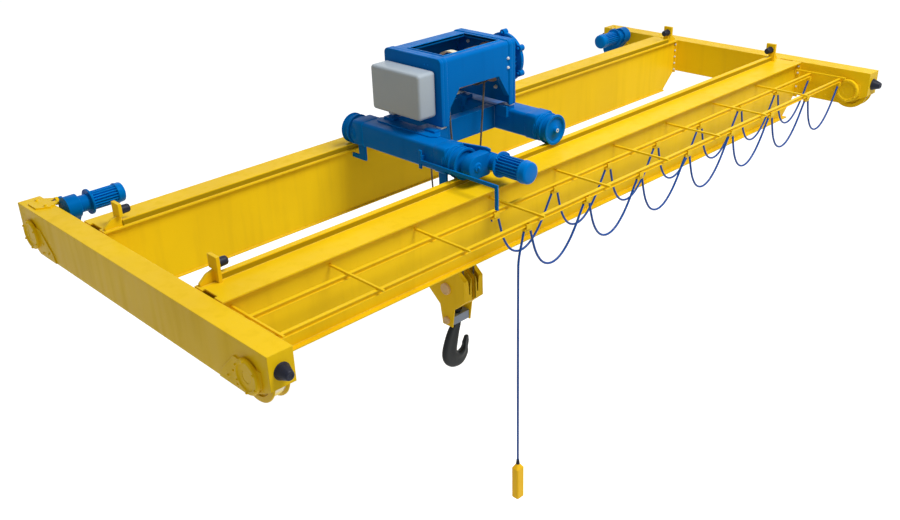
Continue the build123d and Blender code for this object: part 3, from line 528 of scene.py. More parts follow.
motor_blue = painted("motor_blue", ((0.0, 0.19, 0.62), *blue[1:]), 0.32, 0.8, 0.002)
box_silver = painted("box_silver", silver, 0.34, 0.6, 0.012)
block_yellow = painted("block_yellow", yellow, 0.38, 0.6, 0.002)
collar_paint = painted("collar_paint", slate, 0.34, radius=0.003)
pendant_shell = painted("pendant_shell", amber, 0.46, radius=0.004)
zinc = painted("zinc", pale_zinc, 0.30, radius=0.002)
hook_iron = grained("hook_iron", (0.002, 0.004, 0.005), (0.006, 0.010, 0.011), 42.0, 0.36,
                    relief=0.0008, radius=0.006)
sheave_iron = grained("sheave_iron", (0.010, 0.010, 0.010), (0.028, 0.025, 0.021), 60.0, 0.42, 0.2)
drum_iron = grained("drum_iron", (0.42, 0.27, 0.18), (0.60, 0.44, 0.32), 38.0, 0.46)
buffer_rubber = grained("buffer_rubber", (0.006, 0.008, 0.020), (0.016, 0.021, 0.040), 150.0, 0.44,
                        light_edge=(0.035, 0.05, 0.085))
cable_sheath = grained("cable_sheath", (0.0, 0.052, 0.28), (0.001, 0.085, 0.37), 240.0, 0.36, relief=0.0002)
cream_nylon = painted("cream_nylon", cream, 0.5, radius=0.002, bare=off_the_drum)
# The rails carry painted shade on their sides.
rail_paint = painted("rail_paint", yellow, 0.42, radius=0.004, bare=rail_painted_shade)
pin_metal = grained("pin_metal", (0.74, 0.50, 0.24), (0.64, 0.42, 0.19), 50.0, 0.42, relief=0.0003)
print("materials", len(bpy.data.materials))

# %% Give each node its finish


def coat(piece, material):
    """Put one material on a piece."""
    piece.data.materials.clear()
    piece.data.materials.append(material)


finishes = [
    (crane_yellow, "left_carriage right_carriage front_girder_box front_girder_top_plate rear_girder_box "
                   "rear_girder_top_plate left_wheel_bearings right_wheel_bearings trolley_stops"),
    (rail_paint, "front_trolley_rail rear_trolley_rail"),
    (fine_yellow, "torque_brackets festoon_arms inner_festoon_track outer_festoon_track festoon_end_clamps "
                  "outer_carriers tow_carriage " + " ".join(f"cable_carrier_{k}" for k in range(1, 7))),
    (machine_blue, "left_trolley_beam right_trolley_beam trolley_cross_frame hoist_frame tow_arm "
                   "hoist_gearbox left_travel_gearbox right_travel_gearbox trolley_gearbox "
                   "left_trolley_wheels right_trolley_wheels"),
    (motor_blue, "left_travel_motor right_travel_motor trolley_motor"),
    (box_silver, "control_box"), (block_yellow, "hook_block_plates"), (collar_paint, "hook_crosshead"),
    (pendant_shell, "pendant_control"), (zinc, "hoist_shims"), (hook_iron, "load_hook"),
    (sheave_iron, "rope_sheaves"), (drum_iron, "rope_anchor rope_drum"), (cream_nylon, "rope_guide"),
    (buffer_rubber, "rubber_buffers"), (cable_sheath, "inner_cable outer_cable pendant_cable")]
for end, y in (("front", 0.0), ("rear", wheel_base)):
    finishes.append((painted(f"{end}_travel_wheel_paint", yellow, bare=travel_tread(y)),
                     f"left_{end}_travel_wheel right_{end}_travel_wheel"))
for material, names in finishes:
    for name in names.split():
        coat(nodes[name], material)
print("finishes", len(finishes))

# %% [markdown]
# A new piece needs a body to ride on, a material, and the names of the CAD nodes that it stands for. Each
# material is paired with a slot name, which the code here leaves unused.

# %% Dress a new piece
blue_cable, rubber = (cable_sheath, "cable_blue"), (buffer_rubber, "buffer_rubber")
enamel, festoon = (fine_yellow, "yellow_enamel"), (fine_yellow, "festoon_enamel")
frame_blue, drive_blue = (machine_blue, "blue_paint"), (motor_blue, "blue_paint")
bright = (zinc, "shim_steel")


def place_on(piece, body, look, *replaced):
    """Let a new piece ride on a body, with its material, in place of CAD nodes if it has any."""
    coat(piece, look[0])
    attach(piece, body)
    if replaced:
        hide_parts(*replaced)
    return piece


def dress(name, grids, body, look, *replaced, **how):
    """A new piece from grids, on its body and in its look."""
    return place_on(grid_mesh(name, grids, **how), body, look, *replaced)


# %% [markdown]
# ## The festoon cables
# Each festoon is a row of loops between carriers. A loop hangs under its own weight, steeper at the left end
# than at the right, as a stiff cable does that leaves its saddle at a slant. A NURBS spline with the
# route's own points as its control points gives one smooth line.

# %% Cables
cable_diameter = 0.020
inner_y, outer_y = 0.441, 0.091
saddle_bottom = 0.230
loop_start, loop_pitch, loop_chord, loop_depth = 2.643, 0.748, 0.668, 0.400
loop_count = 7
loop_shape = [(0, 0), (0.045, 0.30), (0.115, 0.62), (0.235, 0.89), (0.40, 1.0), (0.57, 0.93), (0.73, 0.70),
              (0.86, 0.40), (0.95, 0.13), (1, 0)]


def spline(name, points, diameter):
    """A NURBS curve of order 3 with a list of control points and a round section."""
    data = bpy.data.curves.new(name, "CURVE")
    data.dimensions = "3D"
    data.bevel_depth, data.bevel_resolution, data.resolution_u = diameter / 2, 4, 12
    data.use_fill_caps = True
    line = data.splines.new("NURBS")
    line.points.add(len(points) - 1)
    for point, place in zip(line.points, points):
        point.co = (*place, 1.0)
    line.order_u = 3
    line.use_endpoint_u = True
    return link(name, data)


def centreline(name, points):
    """The points along a NURBS spline, read from the curve itself, and their length."""
    bare = spline(name + "_line", points, 0.0)
    line = np.array([v.co for v in bpy.data.meshes.new_from_object(bare).vertices])
    bpy.data.objects.remove(bare)
    return line, float(np.linalg.norm(np.diff(line, axis=0), axis=1).sum())


def loop_points(k, y):
    """The route of loop k of a festoon."""
    x0 = loop_start + loop_pitch * k
    return [(x0 + a * loop_chord, y, saddle_bottom - b * loop_depth) for a, b in loop_shape]


for k in range(loop_count):
    route = loop_points(k, outer_y)
    loop = place_on(spline(f"outer_loop_{k}", route, cable_diameter), "bridge", blue_cable)
    length = centreline(loop.name, route)[1]
    if k == 0:
        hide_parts("outer_cable")
print("outer loop length", round(length, 3))

# %% [markdown]
# The inner loops hang between carriers that spread and close up as the trolley travels. Each is a mesh
# tube along its route.

# %% Inner loops
carrier_bodies = ["tow"] + [f"carrier_{k}" for k in range(loop_count - 1, 0, -1)] + ["bridge"]
for k in range(loop_count):
    route = loop_points(k, inner_y)
    line, length = centreline(f"inner_loop_{k}", route)
    loop = grid_mesh(f"inner_loop_{k}", tube_points(line, cable_diameter / 2))
    coat(loop, cable_sheath)
    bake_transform(loop)
    if k == 0:
        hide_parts("inner_cable")
print("inner loop length", round(length, 3))

# %% [markdown]
# Between two loops the cable runs through its carrier, pressed to the underside of the saddle by a strap.

# %% Cable through the saddles
saddle_half, saddle_rise = 0.041, 0.004
strap_line = [(-0.008, 0.0095), (-0.008, 0.0125), (0.008, 0.0125), (0.008, 0.0095)]
for k in range(loop_count):
    x = loop_start - 0.04 + loop_pitch * k
    xs = np.linspace(x - saddle_half, x + saddle_half, 9)
    rise = saddle_rise * np.cos((xs - x) / saddle_half * np.pi / 2)
    for row, y, body in (("outer", outer_y, "bridge"), ("inner", inner_y, carrier_bodies[k])):
        path = np.stack([xs, np.full(9, y), saddle_bottom + rise], 1)
        dress(f"{row}_saddle_cable_{k}", tube_points(path, cable_diameter / 2), body, blue_cable)
        dress(f"{row}_saddle_cable_{k}_strap",
              spun(strap_line, (x, y, saddle_bottom + saddle_rise), (1, 0, 0), 20), body, festoon, cap=False)

# %% [markdown]
# ## The pendant
# The pendant hangs on its own cable from the first carrier of the outer track. The cable enters it through a
# ribbed rubber boot, and the buttons sit in one row on the side that faces the driver.

# %% Pendant cable and buttons
pendant_x, pendant_top = 2.496, -2.012
pendant_route = [(x, outer_y, z) for x, z in (
    (2.561, saddle_bottom), (2.546, 0.160), (2.522, 0.090), (2.504, 0.010), (pendant_x, -0.080),
    (pendant_x, pendant_top))]
pendant_cable = place_on(spline("pendant_cable_line", pendant_route, cable_diameter), "bridge", blue_cable,
                         "pendant_cable")
pendant_length = centreline("pendant", pendant_route)[1]
t = np.linspace(0, 1, 31)
ribs = np.stack([t * 0.055, 0.0175 - 0.006 * t + 0.0014 * np.cos(t * 10 * np.pi)], 1)
button = [(-0.002, 0.0120), (0.003, 0.0120), (0.0045, 0.0100), (0.0085, 0.0092), (0.0105, 0.0070),
          (0.0115, 0.0006)]
mushroom = [(-0.002, 0.0130), (0.004, 0.0130), (0.005, 0.0090), (0.011, 0.0090), (0.012, 0.0170),
            (0.017, 0.0165), (0.020, 0.0110), (0.021, 0.0006)]
face_y = outer_y + 0.0378
boot = dress("pendant_boot", spun(ribs, (pendant_x, outer_y, pendant_top - 0.004), (0, 0, 1), 24),
             "bridge", rubber)
button_places = [(pendant_x, face_y, -2.150 - 0.036 * k) for k in range(6)]
dress("pendant_buttons", spun(button, button_places, (0, 1, 0), 20), "bridge", rubber)
stop_red = grained("stop_red", (0.52, 0.012, 0.010), (0.36, 0.01, 0.01), 120.0, 0.35)
dress("pendant_stop_button", spun(mushroom, (pendant_x, face_y, -2.095), (0, 1, 0), 28), "bridge",
      (stop_red, "buffer_rubber"))
print("pendant cable length", round(pendant_length, 3))

# %% [markdown]
# ## The wire ropes
# A wire rope is six strands laid round a core. Each strand is a thin tube on a helix about the rope's line:
# centre + h (cos q side + sin q up), where q grows by one turn in each lay length. A number on each point,
# how far out of the rope it stands, sets painted shade in the grooves and a painted highlight on the crowns.

# %% Laid rope
rope_radius, rope_lay, strand_count, strand_sides = 0.009, 0.130, 6, 7


def laid_rope(name, path):
    """Six strands round a path, with an attribute for how proud each point is."""
    s = np.concatenate([[0.0], np.cumsum(np.linalg.norm(np.diff(path, axis=0), axis=1))])
    sides, ups = frames_along(path)
    q = (2 * np.pi * s / rope_lay + circle(strand_count)[:, None])[..., None]
    out = np.cos(q) * sides + np.sin(q) * ups
    across = np.cos(q) * ups - np.sin(q) * sides
    a = circle(strand_sides)[:, None]
    ring = np.cos(a) * out[:, :, None] + np.sin(a) * across[:, :, None]
    points = (path + rope_radius * 2 / 3 * out)[:, :, None] + rope_radius * 0.345 * ring
    rope = grid_mesh(name, points)
    proud = np.broadcast_to((np.cos(a[:, 0]) + 1) / 2, points.shape[:3]).ravel()
    rope.data.attributes.new("proud", "FLOAT", "POINT").data.foreach_set("value", proud.astype(np.float32))
    return rope


def rope_finish():
    """Greased wire, with painted shade in the grooves between strands and a painted highlight on their crowns.
    """
    material, tree, shader = start_material("wire_rope")
    proud = add_node(tree, "ShaderNodeAttribute", attribute_name="proud")["Fac"]
    place = on_piece(tree)
    patch = ramp(tree, noise(tree, place, 14.0), 0.45, 0.7, 0.0, 0.4)
    # Painted shade and highlight: near black in the grooves, pale cream on the crowns of the strands.
    colour = mixed(tree, ramp(tree, proud, 0.66, 0.98), (0.004, 0.003, 0.003), (0.30, 0.26, 0.20))
    feed(tree, shader, {"Base Color": mixed(tree, patch, colour, (0.020, 0.014, 0.010)),
                        "Roughness": ramp(tree, proud, 0.4, 1.0, 0.6, 0.36), "Specular IOR Level": 0.15,
                        "Normal": bumped(tree, noise(tree, place, 420.0, 1.0), flat_normal(tree), 0.0006, 0.5)})
    return material


wire_rope = rope_finish()
print("strands", strand_count, "lay", rope_lay)

# %% [markdown]
# Two falls come down from the drum in front and two from the cross bar behind. The hook block moves up and
# down under the trolley; each fall here is one fixed mesh from its top to the block's sheaves, and the turns
# round the sheaves ride on the block.

# %% Falls and the turns round the sheaves
hook_x, hook_y, sheave_z = 3.243, middle_y, -1.021
sheave_out, sheave_groove = 0.055, 0.175
dead_z = 0.953
falls = [(-1, -1, 3.045, drum_z), (-1, 1, 3.110, dead_z), (1, -1, 3.523, drum_z), (1, 1, 3.376, dead_z)]
for k, (side, turn, x_high, z_high) in enumerate(falls):
    y = hook_y + turn * sheave_groove
    low, high = (hook_x + side * sheave_out, y, sheave_z), (x_high, y, z_high)
    fall = laid_rope(f"rope_fall_{k}", np.linspace(high, low, 260))
    coat(fall, wire_rope)
    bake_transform(fall)
    if k == 0:
        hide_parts("hoist_ropes")

a = np.linspace(np.pi, 2 * np.pi, 84)
for k, side in enumerate((-1, 1)):
    arc = np.stack([np.full(84, hook_x + side * sheave_out), hook_y + sheave_groove * np.cos(a),
                    sheave_z + sheave_groove * np.sin(a)], 1)
    turn = place_on(laid_rope(f"sheave_turn_{k}", arc), "hook_block", (wire_rope, "wire_rope"))
    if k == 0:
        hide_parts("sheave_ropes")

# %% [markdown]
# ## The drum
# The rope lies in a groove that winds round the drum like a thread, so the drum's radius depends on both the
# place along it and the angle: core - depth (1 + cos(2 pi x / pitch - angle)) / 2. About five turns of rope
# are on it at each end, and the rest is bare brown iron.

# %% Grooved drum
drum_x, drum_half, drum_sides = 3.338, 0.428, 72
core, flange, shaft = 0.1555, 0.185, 0.060
pitch, groove_end, groove_depth = 0.018, 0.405, 0.0042
turn_radius, turns_wound = 0.165, 5.3
xs = np.linspace(-0.412, 0.412, 368)[:, None]
a = circle(drum_sides)
fade = np.clip((groove_end - np.abs(xs)) / 0.02, 0, 1)
groove = core - groove_depth * fade * (1 + np.cos(2 * np.pi * np.abs(xs) / pitch - a)) / 2
cheek = np.array([(-drum_half, shaft), (-drum_half, flange - 0.003), (-drum_half + 0.003, flange),
                  (-drum_half + 0.013, flange), (-0.414, flange - 0.002), (-0.414, core)])
cheek_r = np.repeat(cheek[:, 1:], drum_sides, 1)
r = np.concatenate([cheek_r, groove, cheek_r[::-1]])
x = np.broadcast_to(drum_x + np.concatenate([cheek[:, :1], xs, -cheek[::-1, :1]]), r.shape)
dress("grooved_drum", np.stack([x, drum_y + r * np.cos(a), drum_z + r * np.sin(a)], -1), "drum",
      (drum_iron, "drum_steel"), "rope_drum")
t = np.linspace(0, turns_wound * 2 * np.pi, 240)
for k, (lead, way) in enumerate(((3.045, -1), (3.523, 1))):
    path = np.stack([lead + way * pitch * t / (2 * np.pi), drum_y - turn_radius * np.cos(t),
                     drum_z + turn_radius * np.sin(t)], 1)
    place_on(laid_rope(f"drum_turns_{k}", path), "drum", (wire_rope, "wire_rope"))

# %% [markdown]
# ## Bolts
# A crane is a bolted machine. One head is a small grid: a washer, a hexagon whose radius is
# half / cos(angle to the nearest flat), and a turned chamfer on top. It is copied to every place at once.

# %% Hexagon heads
head_sides = 12
hexagon = 1 / np.cos((circle(head_sides) + np.pi / 6) % (np.pi / 3) - np.pi / 6)


def bolts(name, places, axis, across, body, look):
    """Hexagon heads on washers, all facing one way."""
    disc = np.ones(head_sides)
    rings = [(-0.15, 1.42 * disc), (0.20, 1.42 * disc), (0.26, 1.34 * disc), (0.26, hexagon),
             (1.15, hexagon), (1.36, 0.86 * disc), (1.36, 0.04 * disc)]
    profile = np.array([(h, 1.0) for h, _ in rings]) * across / 2
    shape = np.array([r for _, r in rings])[:, :, None]
    dress(name, spun(profile, places, axis, head_sides, shape), body, look, smooth=False)


def ring_of(centre, radius, count, axis, start=0.0):
    """Places on a circle about an axis along X or Y."""
    q = circle(count) + math.radians(start)
    across = [radius * np.cos(q), 0 * q] if axis == "Y" else [0 * q, radius * np.cos(q)]
    return np.stack([*across, radius * np.sin(q)], 1) + centre


# %% Bolts on the end carriages
ends_of_span = (("left", 0.0, 1), ("right", span, -1))
for side, base_x, way in ends_of_span:
    outside, inside, joint = [], [], []
    for places, into in ((outside, -way), (inside, way)):
        for wheel_y, turn in ((0.0, 1), (wheel_base, -1)):
            places.extend(ring_of((base_x + into * 0.137, wheel_y, travel_radius), 0.113, 6, "X", 30))
            places.extend((base_x + into * 0.107, wheel_y + turn * y, z) for y, z in (
                (0.180, 0.150), (0.150, 0.060), (-0.105, 0.245), (0.255, 0.085)))
    bolts(f"{side}_outer_bearing_bolts", outside, (-way, 0, 0), 0.014, "bridge", enamel)
    bolts(f"{side}_inner_bearing_bolts", inside, (way, 0, 0), 0.014, "bridge", enamel)
    for y in (0.612, 0.9115, wheel_base - 0.612, wheel_base - 0.9115):
        joint.extend((base_x + way * 0.109, y, z) for z in (0.04, 0.12, 0.20, 0.28, 0.355))
    bolts(f"{side}_girder_flange_bolts", joint, (way, 0, 0), 0.017, "bridge", bright)

# %% [markdown]
# ## Weld seams
# A plate girder is welded along its whole length. Each seam is a thin round bead in the corner between two
# plates, and its ripples come from a wave pattern along the bead.

# %% Weld beads


def weld_finish(name, colours):
    """Painted bead with the ripple of the weld across it."""
    material, tree, shader = start_material(name)
    x, y, z = coordinate(tree)
    along = calc(tree, "ADD", calc(tree, "ADD", x, y), z)
    ripple = calc(tree, "SINE", calc(tree, "MULTIPLY", along, 900.0))
    paint, shade, thin = colours
    film = use_group(tree, paint_group, {"Paint": paint, "Shade": shade, "Thin": thin, "Gloss": 0.42,
                                         "Edge": ramp(tree, ripple, 0.2, 1.0)})
    feed(tree, shader, {"Base Color": film["Colour"], "Roughness": film["Roughness"],
                        "Normal": bumped(tree, ripple, flat_normal(tree), 0.0010, 0.8)})
    return material


def seams(name, lines, radius, body, look):
    """Straight beads between pairs of points, in one mesh."""
    dress(name, np.array([tube_points(np.linspace(a, b, 24), radius, 8) for a, b in lines]), body, look)


def on_both(*ys):
    """Places across one girder, and their mirror images on the other."""
    return (*ys, *(wheel_base - y for y in ys))


yellow_weld = weld_finish("yellow_weld", yellow)
blue_weld = weld_finish("blue_weld", blue)
girder_lines = [((x, y, z), (span - x, y, z)) for ys, x, z in (
    ((0.632, 0.642, 0.888, 0.898), 0.112, 0.3935), ((0.632, 0.642, 0.888, 0.898), 0.33, -0.1895),
    ((0.868, 0.918), 0.285, 0.408)) for y in on_both(*ys)]
seams("girder_welds", girder_lines, 0.0045, "bridge", (yellow_weld, "yellow_enamel"))
beam_lines = [((x, y, 0.50), (x, y, 0.70)) for x in (2.8055, 3.7305) for y in (1.503, 1.603)]
seams("cross_frame_welds", beam_lines, 0.005, "trolley", (blue_weld, "blue_paint"))
stop_lines = [((low, y, 0.4085), (high, y, 0.4085)) for low, high in (
    (0.130, 0.246), (span - 0.130, span - 0.246)) for y in on_both(0.875, 0.911)]
seams("stop_welds", stop_lines, 0.004, "bridge", (yellow_weld, "yellow_enamel"))

# %% [markdown]
# ## Rubber buffers
# The buffers at the ends of the carriages are moulded cones on a thin base flange, with a flat ring at the
# tip. The ones on the trolley's stops are nearly straight. Both are profiles spun about their own line.

# %% Buffers
end_buffer = [(0, 0.001), (0, 0.062), (0.006, 0.062), (0.008, 0.0585), (0.014, 0.0575), (0.062, 0.041),
              (0.078, 0.0355), (0.086, 0.0325), (0.0895, 0.028), (0.0895, 0.018), (0.0865, 0.0165),
              (0.0865, 0.001)]
stop_buffer = [(0, 0.001), (0, 0.039), (0.005, 0.039), (0.0065, 0.0365), (0.066, 0.0345), (0.078, 0.0325),
               (0.0845, 0.027), (0.0845, 0.001)]
for name, profile, xs, ys, z, axis, *replaced in (
        ("rear_buffers", end_buffer, (0, span), (3.406,), 0.27, (0, 1, 0), "rubber_buffers"),
        ("front_buffers", end_buffer, (0, span), (-0.22,), 0.27, (0, -1, 0)),
        ("left_stop_buffers", stop_buffer, (0.278,), (0.893, 2.293), 0.533, (1, 0, 0)),
        ("right_stop_buffers", stop_buffer, (span - 0.278,), (0.893, 2.293), 0.533, (-1, 0, 0))):
    dress(name, spun(profile, [(x, y, z) for x in xs for y in ys], axis, 40), "bridge", rubber, *replaced)

# %% [markdown]
# ## The hoist
# The hoist's frame has two thick end frames with raised rims. Between them runs one folded sheet: up the
# front, round the shoulder and over to the hatch. Its lower edge follows the arch, so the sheet is a row of
# the same section, each starting at its own height.

# %% Hoist frame
fx0, fx1, fy0, fy1, fz0, fz1 = 2.866, 3.810, 1.306, 2.030, 0.753, 1.350
rim, step_in, sheet, shoulder, end_frame = 0.085, 0.008, 0.014, 0.045, 0.040
arch_x = np.array([fx0 + rim, fx0 + 0.0901, fx0 + 0.113, fx0 + 0.231, fx1 - 0.215, fx1 - rim])
arch_z = np.array([fz0, fz0 + 0.001, fz0 + 0.150, fz0 + 0.304, fz0 + 0.296, fz0 + 0.085])
hatch = (fx0 + 0.135, fx1 - 0.125, fy0 + 0.098, fy1 - 0.190)


def folded_sheet(face_y, edge_y, way):
    """Section at each x: from the arch up the face, a quarter circle, along the top, and back inside."""
    t = np.radians(np.linspace(180, 90, 8))
    top, r = fz1 - step_in, shoulder - step_in
    outer, inner = (np.stack([face_y + way * (r + q * np.cos(t)), top - r + q * np.sin(t)], 1)
                    for q in (r, r - sheet))
    loop = np.concatenate([[(face_y, 0)], outer, [(edge_y, top)], [(edge_y, top - sheet)], inner[::-1],
                           [(face_y + way * sheet, 0)]])
    section = np.repeat(loop[None], len(arch_x), 0)
    section[:, 0, 1] = section[:, -1, 1] = arch_z
    points = placed(section, arch_x, "X")
    return points[:, ::-1] if way > 0 else points


end_line = rounded(fy0, fy1, fz0, fz1, (0.012, 0.012, shoulder, shoulder))
band_line = upright_arch(fy0, fy1, fz0, fz1, shoulder, 0.022)
top_z = fz1 - step_in
grids = [prism(end_line, "X", x, x + end_frame, 0.007, 3) for x in (fx0, fx1 - end_frame)]
grids += [prism(band_line, "X", *ends, 0.006, 2)
          for ends in ((fx0 + 0.036, fx0 + rim), (fx1 - rim, fx1 - 0.036))]
grids += [folded_sheet(fy0 + step_in, hatch[2], 1), folded_sheet(fy1 - step_in, hatch[3], -1)]
grids += [prism(rounded(*ends, *hatch[2:], 1e-4, 2), "Z", top_z - sheet, top_z)
          for ends in ((fx0 + rim, hatch[0]), (hatch[1], fx1 - rim))]
lip = np.array(hatch) + [-0.014, 0.014, -0.014, 0.014]
grids.append(frame_ring(*(rounded(*box, 0.006, 4) for box in (lip, hatch)), "Z", fz1 - 0.034, fz1 - 0.002))
under = np.stack([arch_x[1:], arch_z[1:]], 1)
over = under + [[-0.010, -0.001], [-0.009, 0.004], [-0.005, 0.010], [0.005, 0.010], [0.0, 0.020]]
grids += [prism(np.concatenate([under, over[::-1]]), "Y", y, y + 0.042) for y in (fy0 + 0.020, fy1 - 0.062)]
dress("hoist_frame_shell", grids, "trolley", frame_blue, "hoist_frame")
pads = [prism(rounded(x, x + 0.066, y, y + 0.066, 0.003, 2), "Z", 0.738, fz0, 0.001)
        for x in (fx0, fx1 - 0.066) for y in (fy0 + 0.012, fy1 - 0.078)]
dress("corner_shims", pads, "trolley", bright, "hoist_shims")

# %% [markdown]
# The gearbox at the right end has a ribbed round body, a large flange with six ears, and a stepped cover.
# Ribs are a radius that changes with the angle: r + h (a square wave with soft flanks). The motors are
# made in the same way, with more and finer ribs between a flange and a fan cover.

# %% Ribbed bodies and motors


def ribbed(place, axis, low, high, radius, depth, count, per=10):
    """A ribbed barrel: radius - depth / 2 + depth tanh(3 sin(count angle)) / 2 at each angle."""
    r = radius - depth / 2 + depth / 2 * np.tanh(3.0 * np.sin(count * circle(count * per)))
    return spun([(low, 1.0), (high, 1.0)], place, axis, count * per, r[:, None])


def motor(start, axis, flange, barrel, length, radius):
    """A finned barrel between a flange and a rounded fan cover with a raised band."""
    plate = [(0.0, 0.001), (0.0, flange - 0.002), (0.002, flange), (0.014, flange), (0.016, flange - 0.003),
             (0.016, 0.001)]
    cap = [(length, 0.001), (length, radius), (length + 0.004, radius + 0.008),
           (length + 0.020, radius + 0.008), (length + 0.023, radius + 0.004),
           (barrel - 0.022, radius + 0.004), (barrel - 0.010, radius), (barrel - 0.003, radius - 0.010),
           (barrel, radius - 0.022), (barrel, 0.001)]
    return [spun(plate, start, axis), ribbed(start, axis, 0.010, length + 0.002, radius, 0.020, 20),
            spun(cap, start, axis)]


gear = np.array([fx1, drum_y, drum_z])
ear_radius, gear_scale = 0.203, [1.2, 1.15, 1.15]
cover = [(0.106, 0.001), (0.106, 0.196), (0.110, 0.203), (0.134, 0.203), (0.140, 0.198), (0.140, 0.172),
         (0.150, 0.168), (0.176, 0.150), (0.180, 0.118), (0.212, 0.110), (0.222, 0.098), (0.2245, 0.080),
         (0.2245, 0.001)]
ear = [(0.098, 0.001), (0.098, 0.024), (0.101, 0.026), (0.145, 0.026), (0.149, 0.022), (0.149, 0.001)]
grids = [ribbed(gear, (1, 0, 0), -0.002, 0.112, 0.152, 0.030, 24), spun(cover, gear, (1, 0, 0), 72),
         spun(ear, ring_of(gear, ear_radius, 6, "X", 30), (1, 0, 0), 24)]
dress("hoist_gear", [(g - gear) * gear_scale + gear for g in grids], "trolley", frame_blue, "hoist_gearbox")
travel_motor = motor((0.353, 3.043, 0.374), (1, 0, 0), 0.106, 0.316, 0.241, 0.082)
dress("trolley_motor_body", motor((2.878, 0.625, 0.583), (0, -1, 0), 0.112, 0.333, 0.253, 0.090),
      "trolley", drive_blue, "trolley_motor")
dress("left_drive_motor", travel_motor, "bridge", drive_blue, "left_travel_motor")
dress("right_drive_motor", [mirror_x(g) for g in travel_motor], "bridge", drive_blue, "right_travel_motor")

# %% [markdown]
# ## The trolley
# Each end beam is a tube with a larger box at both ends, and a ribbed ring round the wheel's stub axle. The
# wheels are dished discs with a boss. The gear case in front is a rounded box with a chamfered edge.

# %% End beams, wheels and gear case
axle_z = 0.583
ring_line = [(0, 0.001), (0, 0.122), (0.004, 0.126), (0.014, 0.126), (0.016, 0.120), (0.022, 0.120),
             (0.024, 0.129), (0.034, 0.129), (0.036, 0.123), (0.042, 0.123), (0.044, 0.132), (0.058, 0.132),
             (0.070, 0.122), (0.070, 0.001)]
wheel_line = [(-0.066, 0.001), (-0.066, 0.024), (-0.062, 0.030), (-0.044, 0.036), (-0.030, 0.058),
              (-0.027, 0.104), (-0.038, 0.112), (-0.044, 0.118), (-0.044, 0.137), (-0.041, 0.140),
              (-0.034, 0.140), (-0.030, 0.1247), (0.030, 0.1247), (0.034, 0.140), (0.041, 0.140),
              (0.044, 0.137), (0.044, 0.040), (0.0585, 0.040), (0.0585, 0.001)]
for side, x in (("left", 2.693), ("right", 3.843)):
    box = prism(rounded(x - 0.1185, x + 0.1185, 0.477, 0.714, 0.034), "Y", 0.986, 1.123, 0.010, 2)
    tube = prism(rounded(x - 0.1125, x + 0.1125, 0.483, 0.708, 0.030), "Y", 1.10, 2.086)
    dress(f"{side}_end_beam", [tube] + both_sides([box, spun(ring_line, (x, 0.953, axle_z), (0, 1, 0), 56)]),
          "trolley", frame_blue, f"{side}_trolley_beam")
    dress(f"{side}_wheels", both_sides([spun(wheel_line, (x, 0.893, axle_z), (0, 1, 0), 64)]),
          f"trolley_{side}_wheels", frame_blue, f"{side}_trolley_wheels")

t = np.radians(np.linspace(90, 270, 17))
case_line = np.concatenate([np.stack([2.693 + 0.100 * np.cos(t), axle_z + 0.100 * np.sin(t)], 1),
                            rounded(2.70, 2.843, 0.483, 0.683, 0.022)[6:18]])
arm_line = [(0.727, 0.645), (0.821, 0.645), (1.043, 0.619), (1.103, 0.619), (1.103, 0.675), (0.775, 0.707),
            (0.727, 0.701)]
boss = [(-0.010, 0.001), (-0.010, 0.034), (-0.006, 0.040), (0.002, 0.044), (0.002, 0.001)]
neck = [(0, 0.001), (0, 0.062), (0.085, 0.062), (0.090, 0.076), (0.185, 0.076), (0.185, 0.001)]
dress("gear_case", [prism(case_line, "Y", 0.715, 0.821, 0.008, 2), prism(arm_line, "X", 2.846, 2.868, 0.004),
                    spun(boss, (2.693, 0.715, axle_z), (0, 1, 0)), spun(neck, (2.878, 0.625, axle_z), (0, 1, 0)),
                    prism(rounded(2.80, 2.868, 0.620, 0.680, 0.004), "Y", 0.735, 0.800, 0.004),
                    prism(rounded(2.806, 2.868, 0.622, 0.670, 0.004), "Y", 1.053, 1.103, 0.004)],
      "trolley", frame_blue, "trolley_gearbox")
claw = [prism(rounded(*ends, 0.004), "X", 2.6125, 2.6325, 0.002)
        for ends in ((1.011, 1.106, 0.332, 0.480), (0.911, 1.015, 0.332, 0.372))]
dress("rail_claws", both_sides(claw), "trolley", frame_blue)
pad_line = [(2.7055, 1.313), (2.7455, 1.253), (2.7855, 1.253), (2.8455, 1.313), (2.8455, 1.983),
            (2.7855, 2.043), (2.7455, 2.043), (2.7055, 1.983)]
dress("hoist_pad_plate", prism(pad_line, "Z", 0.706, 0.720, 0.003), "trolley", frame_blue)

# %% [markdown]
# The arms of the festoon lattice are slim flat bars, welded to the girder and to the top of both tracks.

# %% Festoon arms
slim = [prism(rounded(x - 0.004, x + 0.016, 0.3155, 0.333, 0.002, 2), "Y", 0.027, 0.632, 0.002)
        for x in 0.193 + 0.848 * np.arange(10)]
dress("slim_festoon_arms", slim, "bridge", festoon, "festoon_arms")

# %% [markdown]
# The control box is a casting with the same soft radius on every edge, so its end outline shrinks along a
# quarter circle. Four studs hold it to the hoist's frame.

# %% Control box
studs = [(2.855, y, z) for y in (1.443, 1.903) for z in (0.923, 1.173)]
dress("rounded_box", [prism(rounded(1.360, 1.986, 0.846, 1.248, 0.032, 8), "X", 2.656, 2.858, 0.028, 6),
                      spun([(0, 0.012), (0.014, 0.012)], studs, (1, 0, 0), 20)],
      "trolley", (box_silver, "grey_enamel"), "control_box")

# %% [markdown]
# ## The hook block and the hook
# The block is a sheet metal box round each sheave, with a funnel in front for the rope, between two long
# cheeks that carry the crosshead. The pins' turned heads show as pale discs outside the cheeks. One quarter
# is made from plates and mirrored twice.

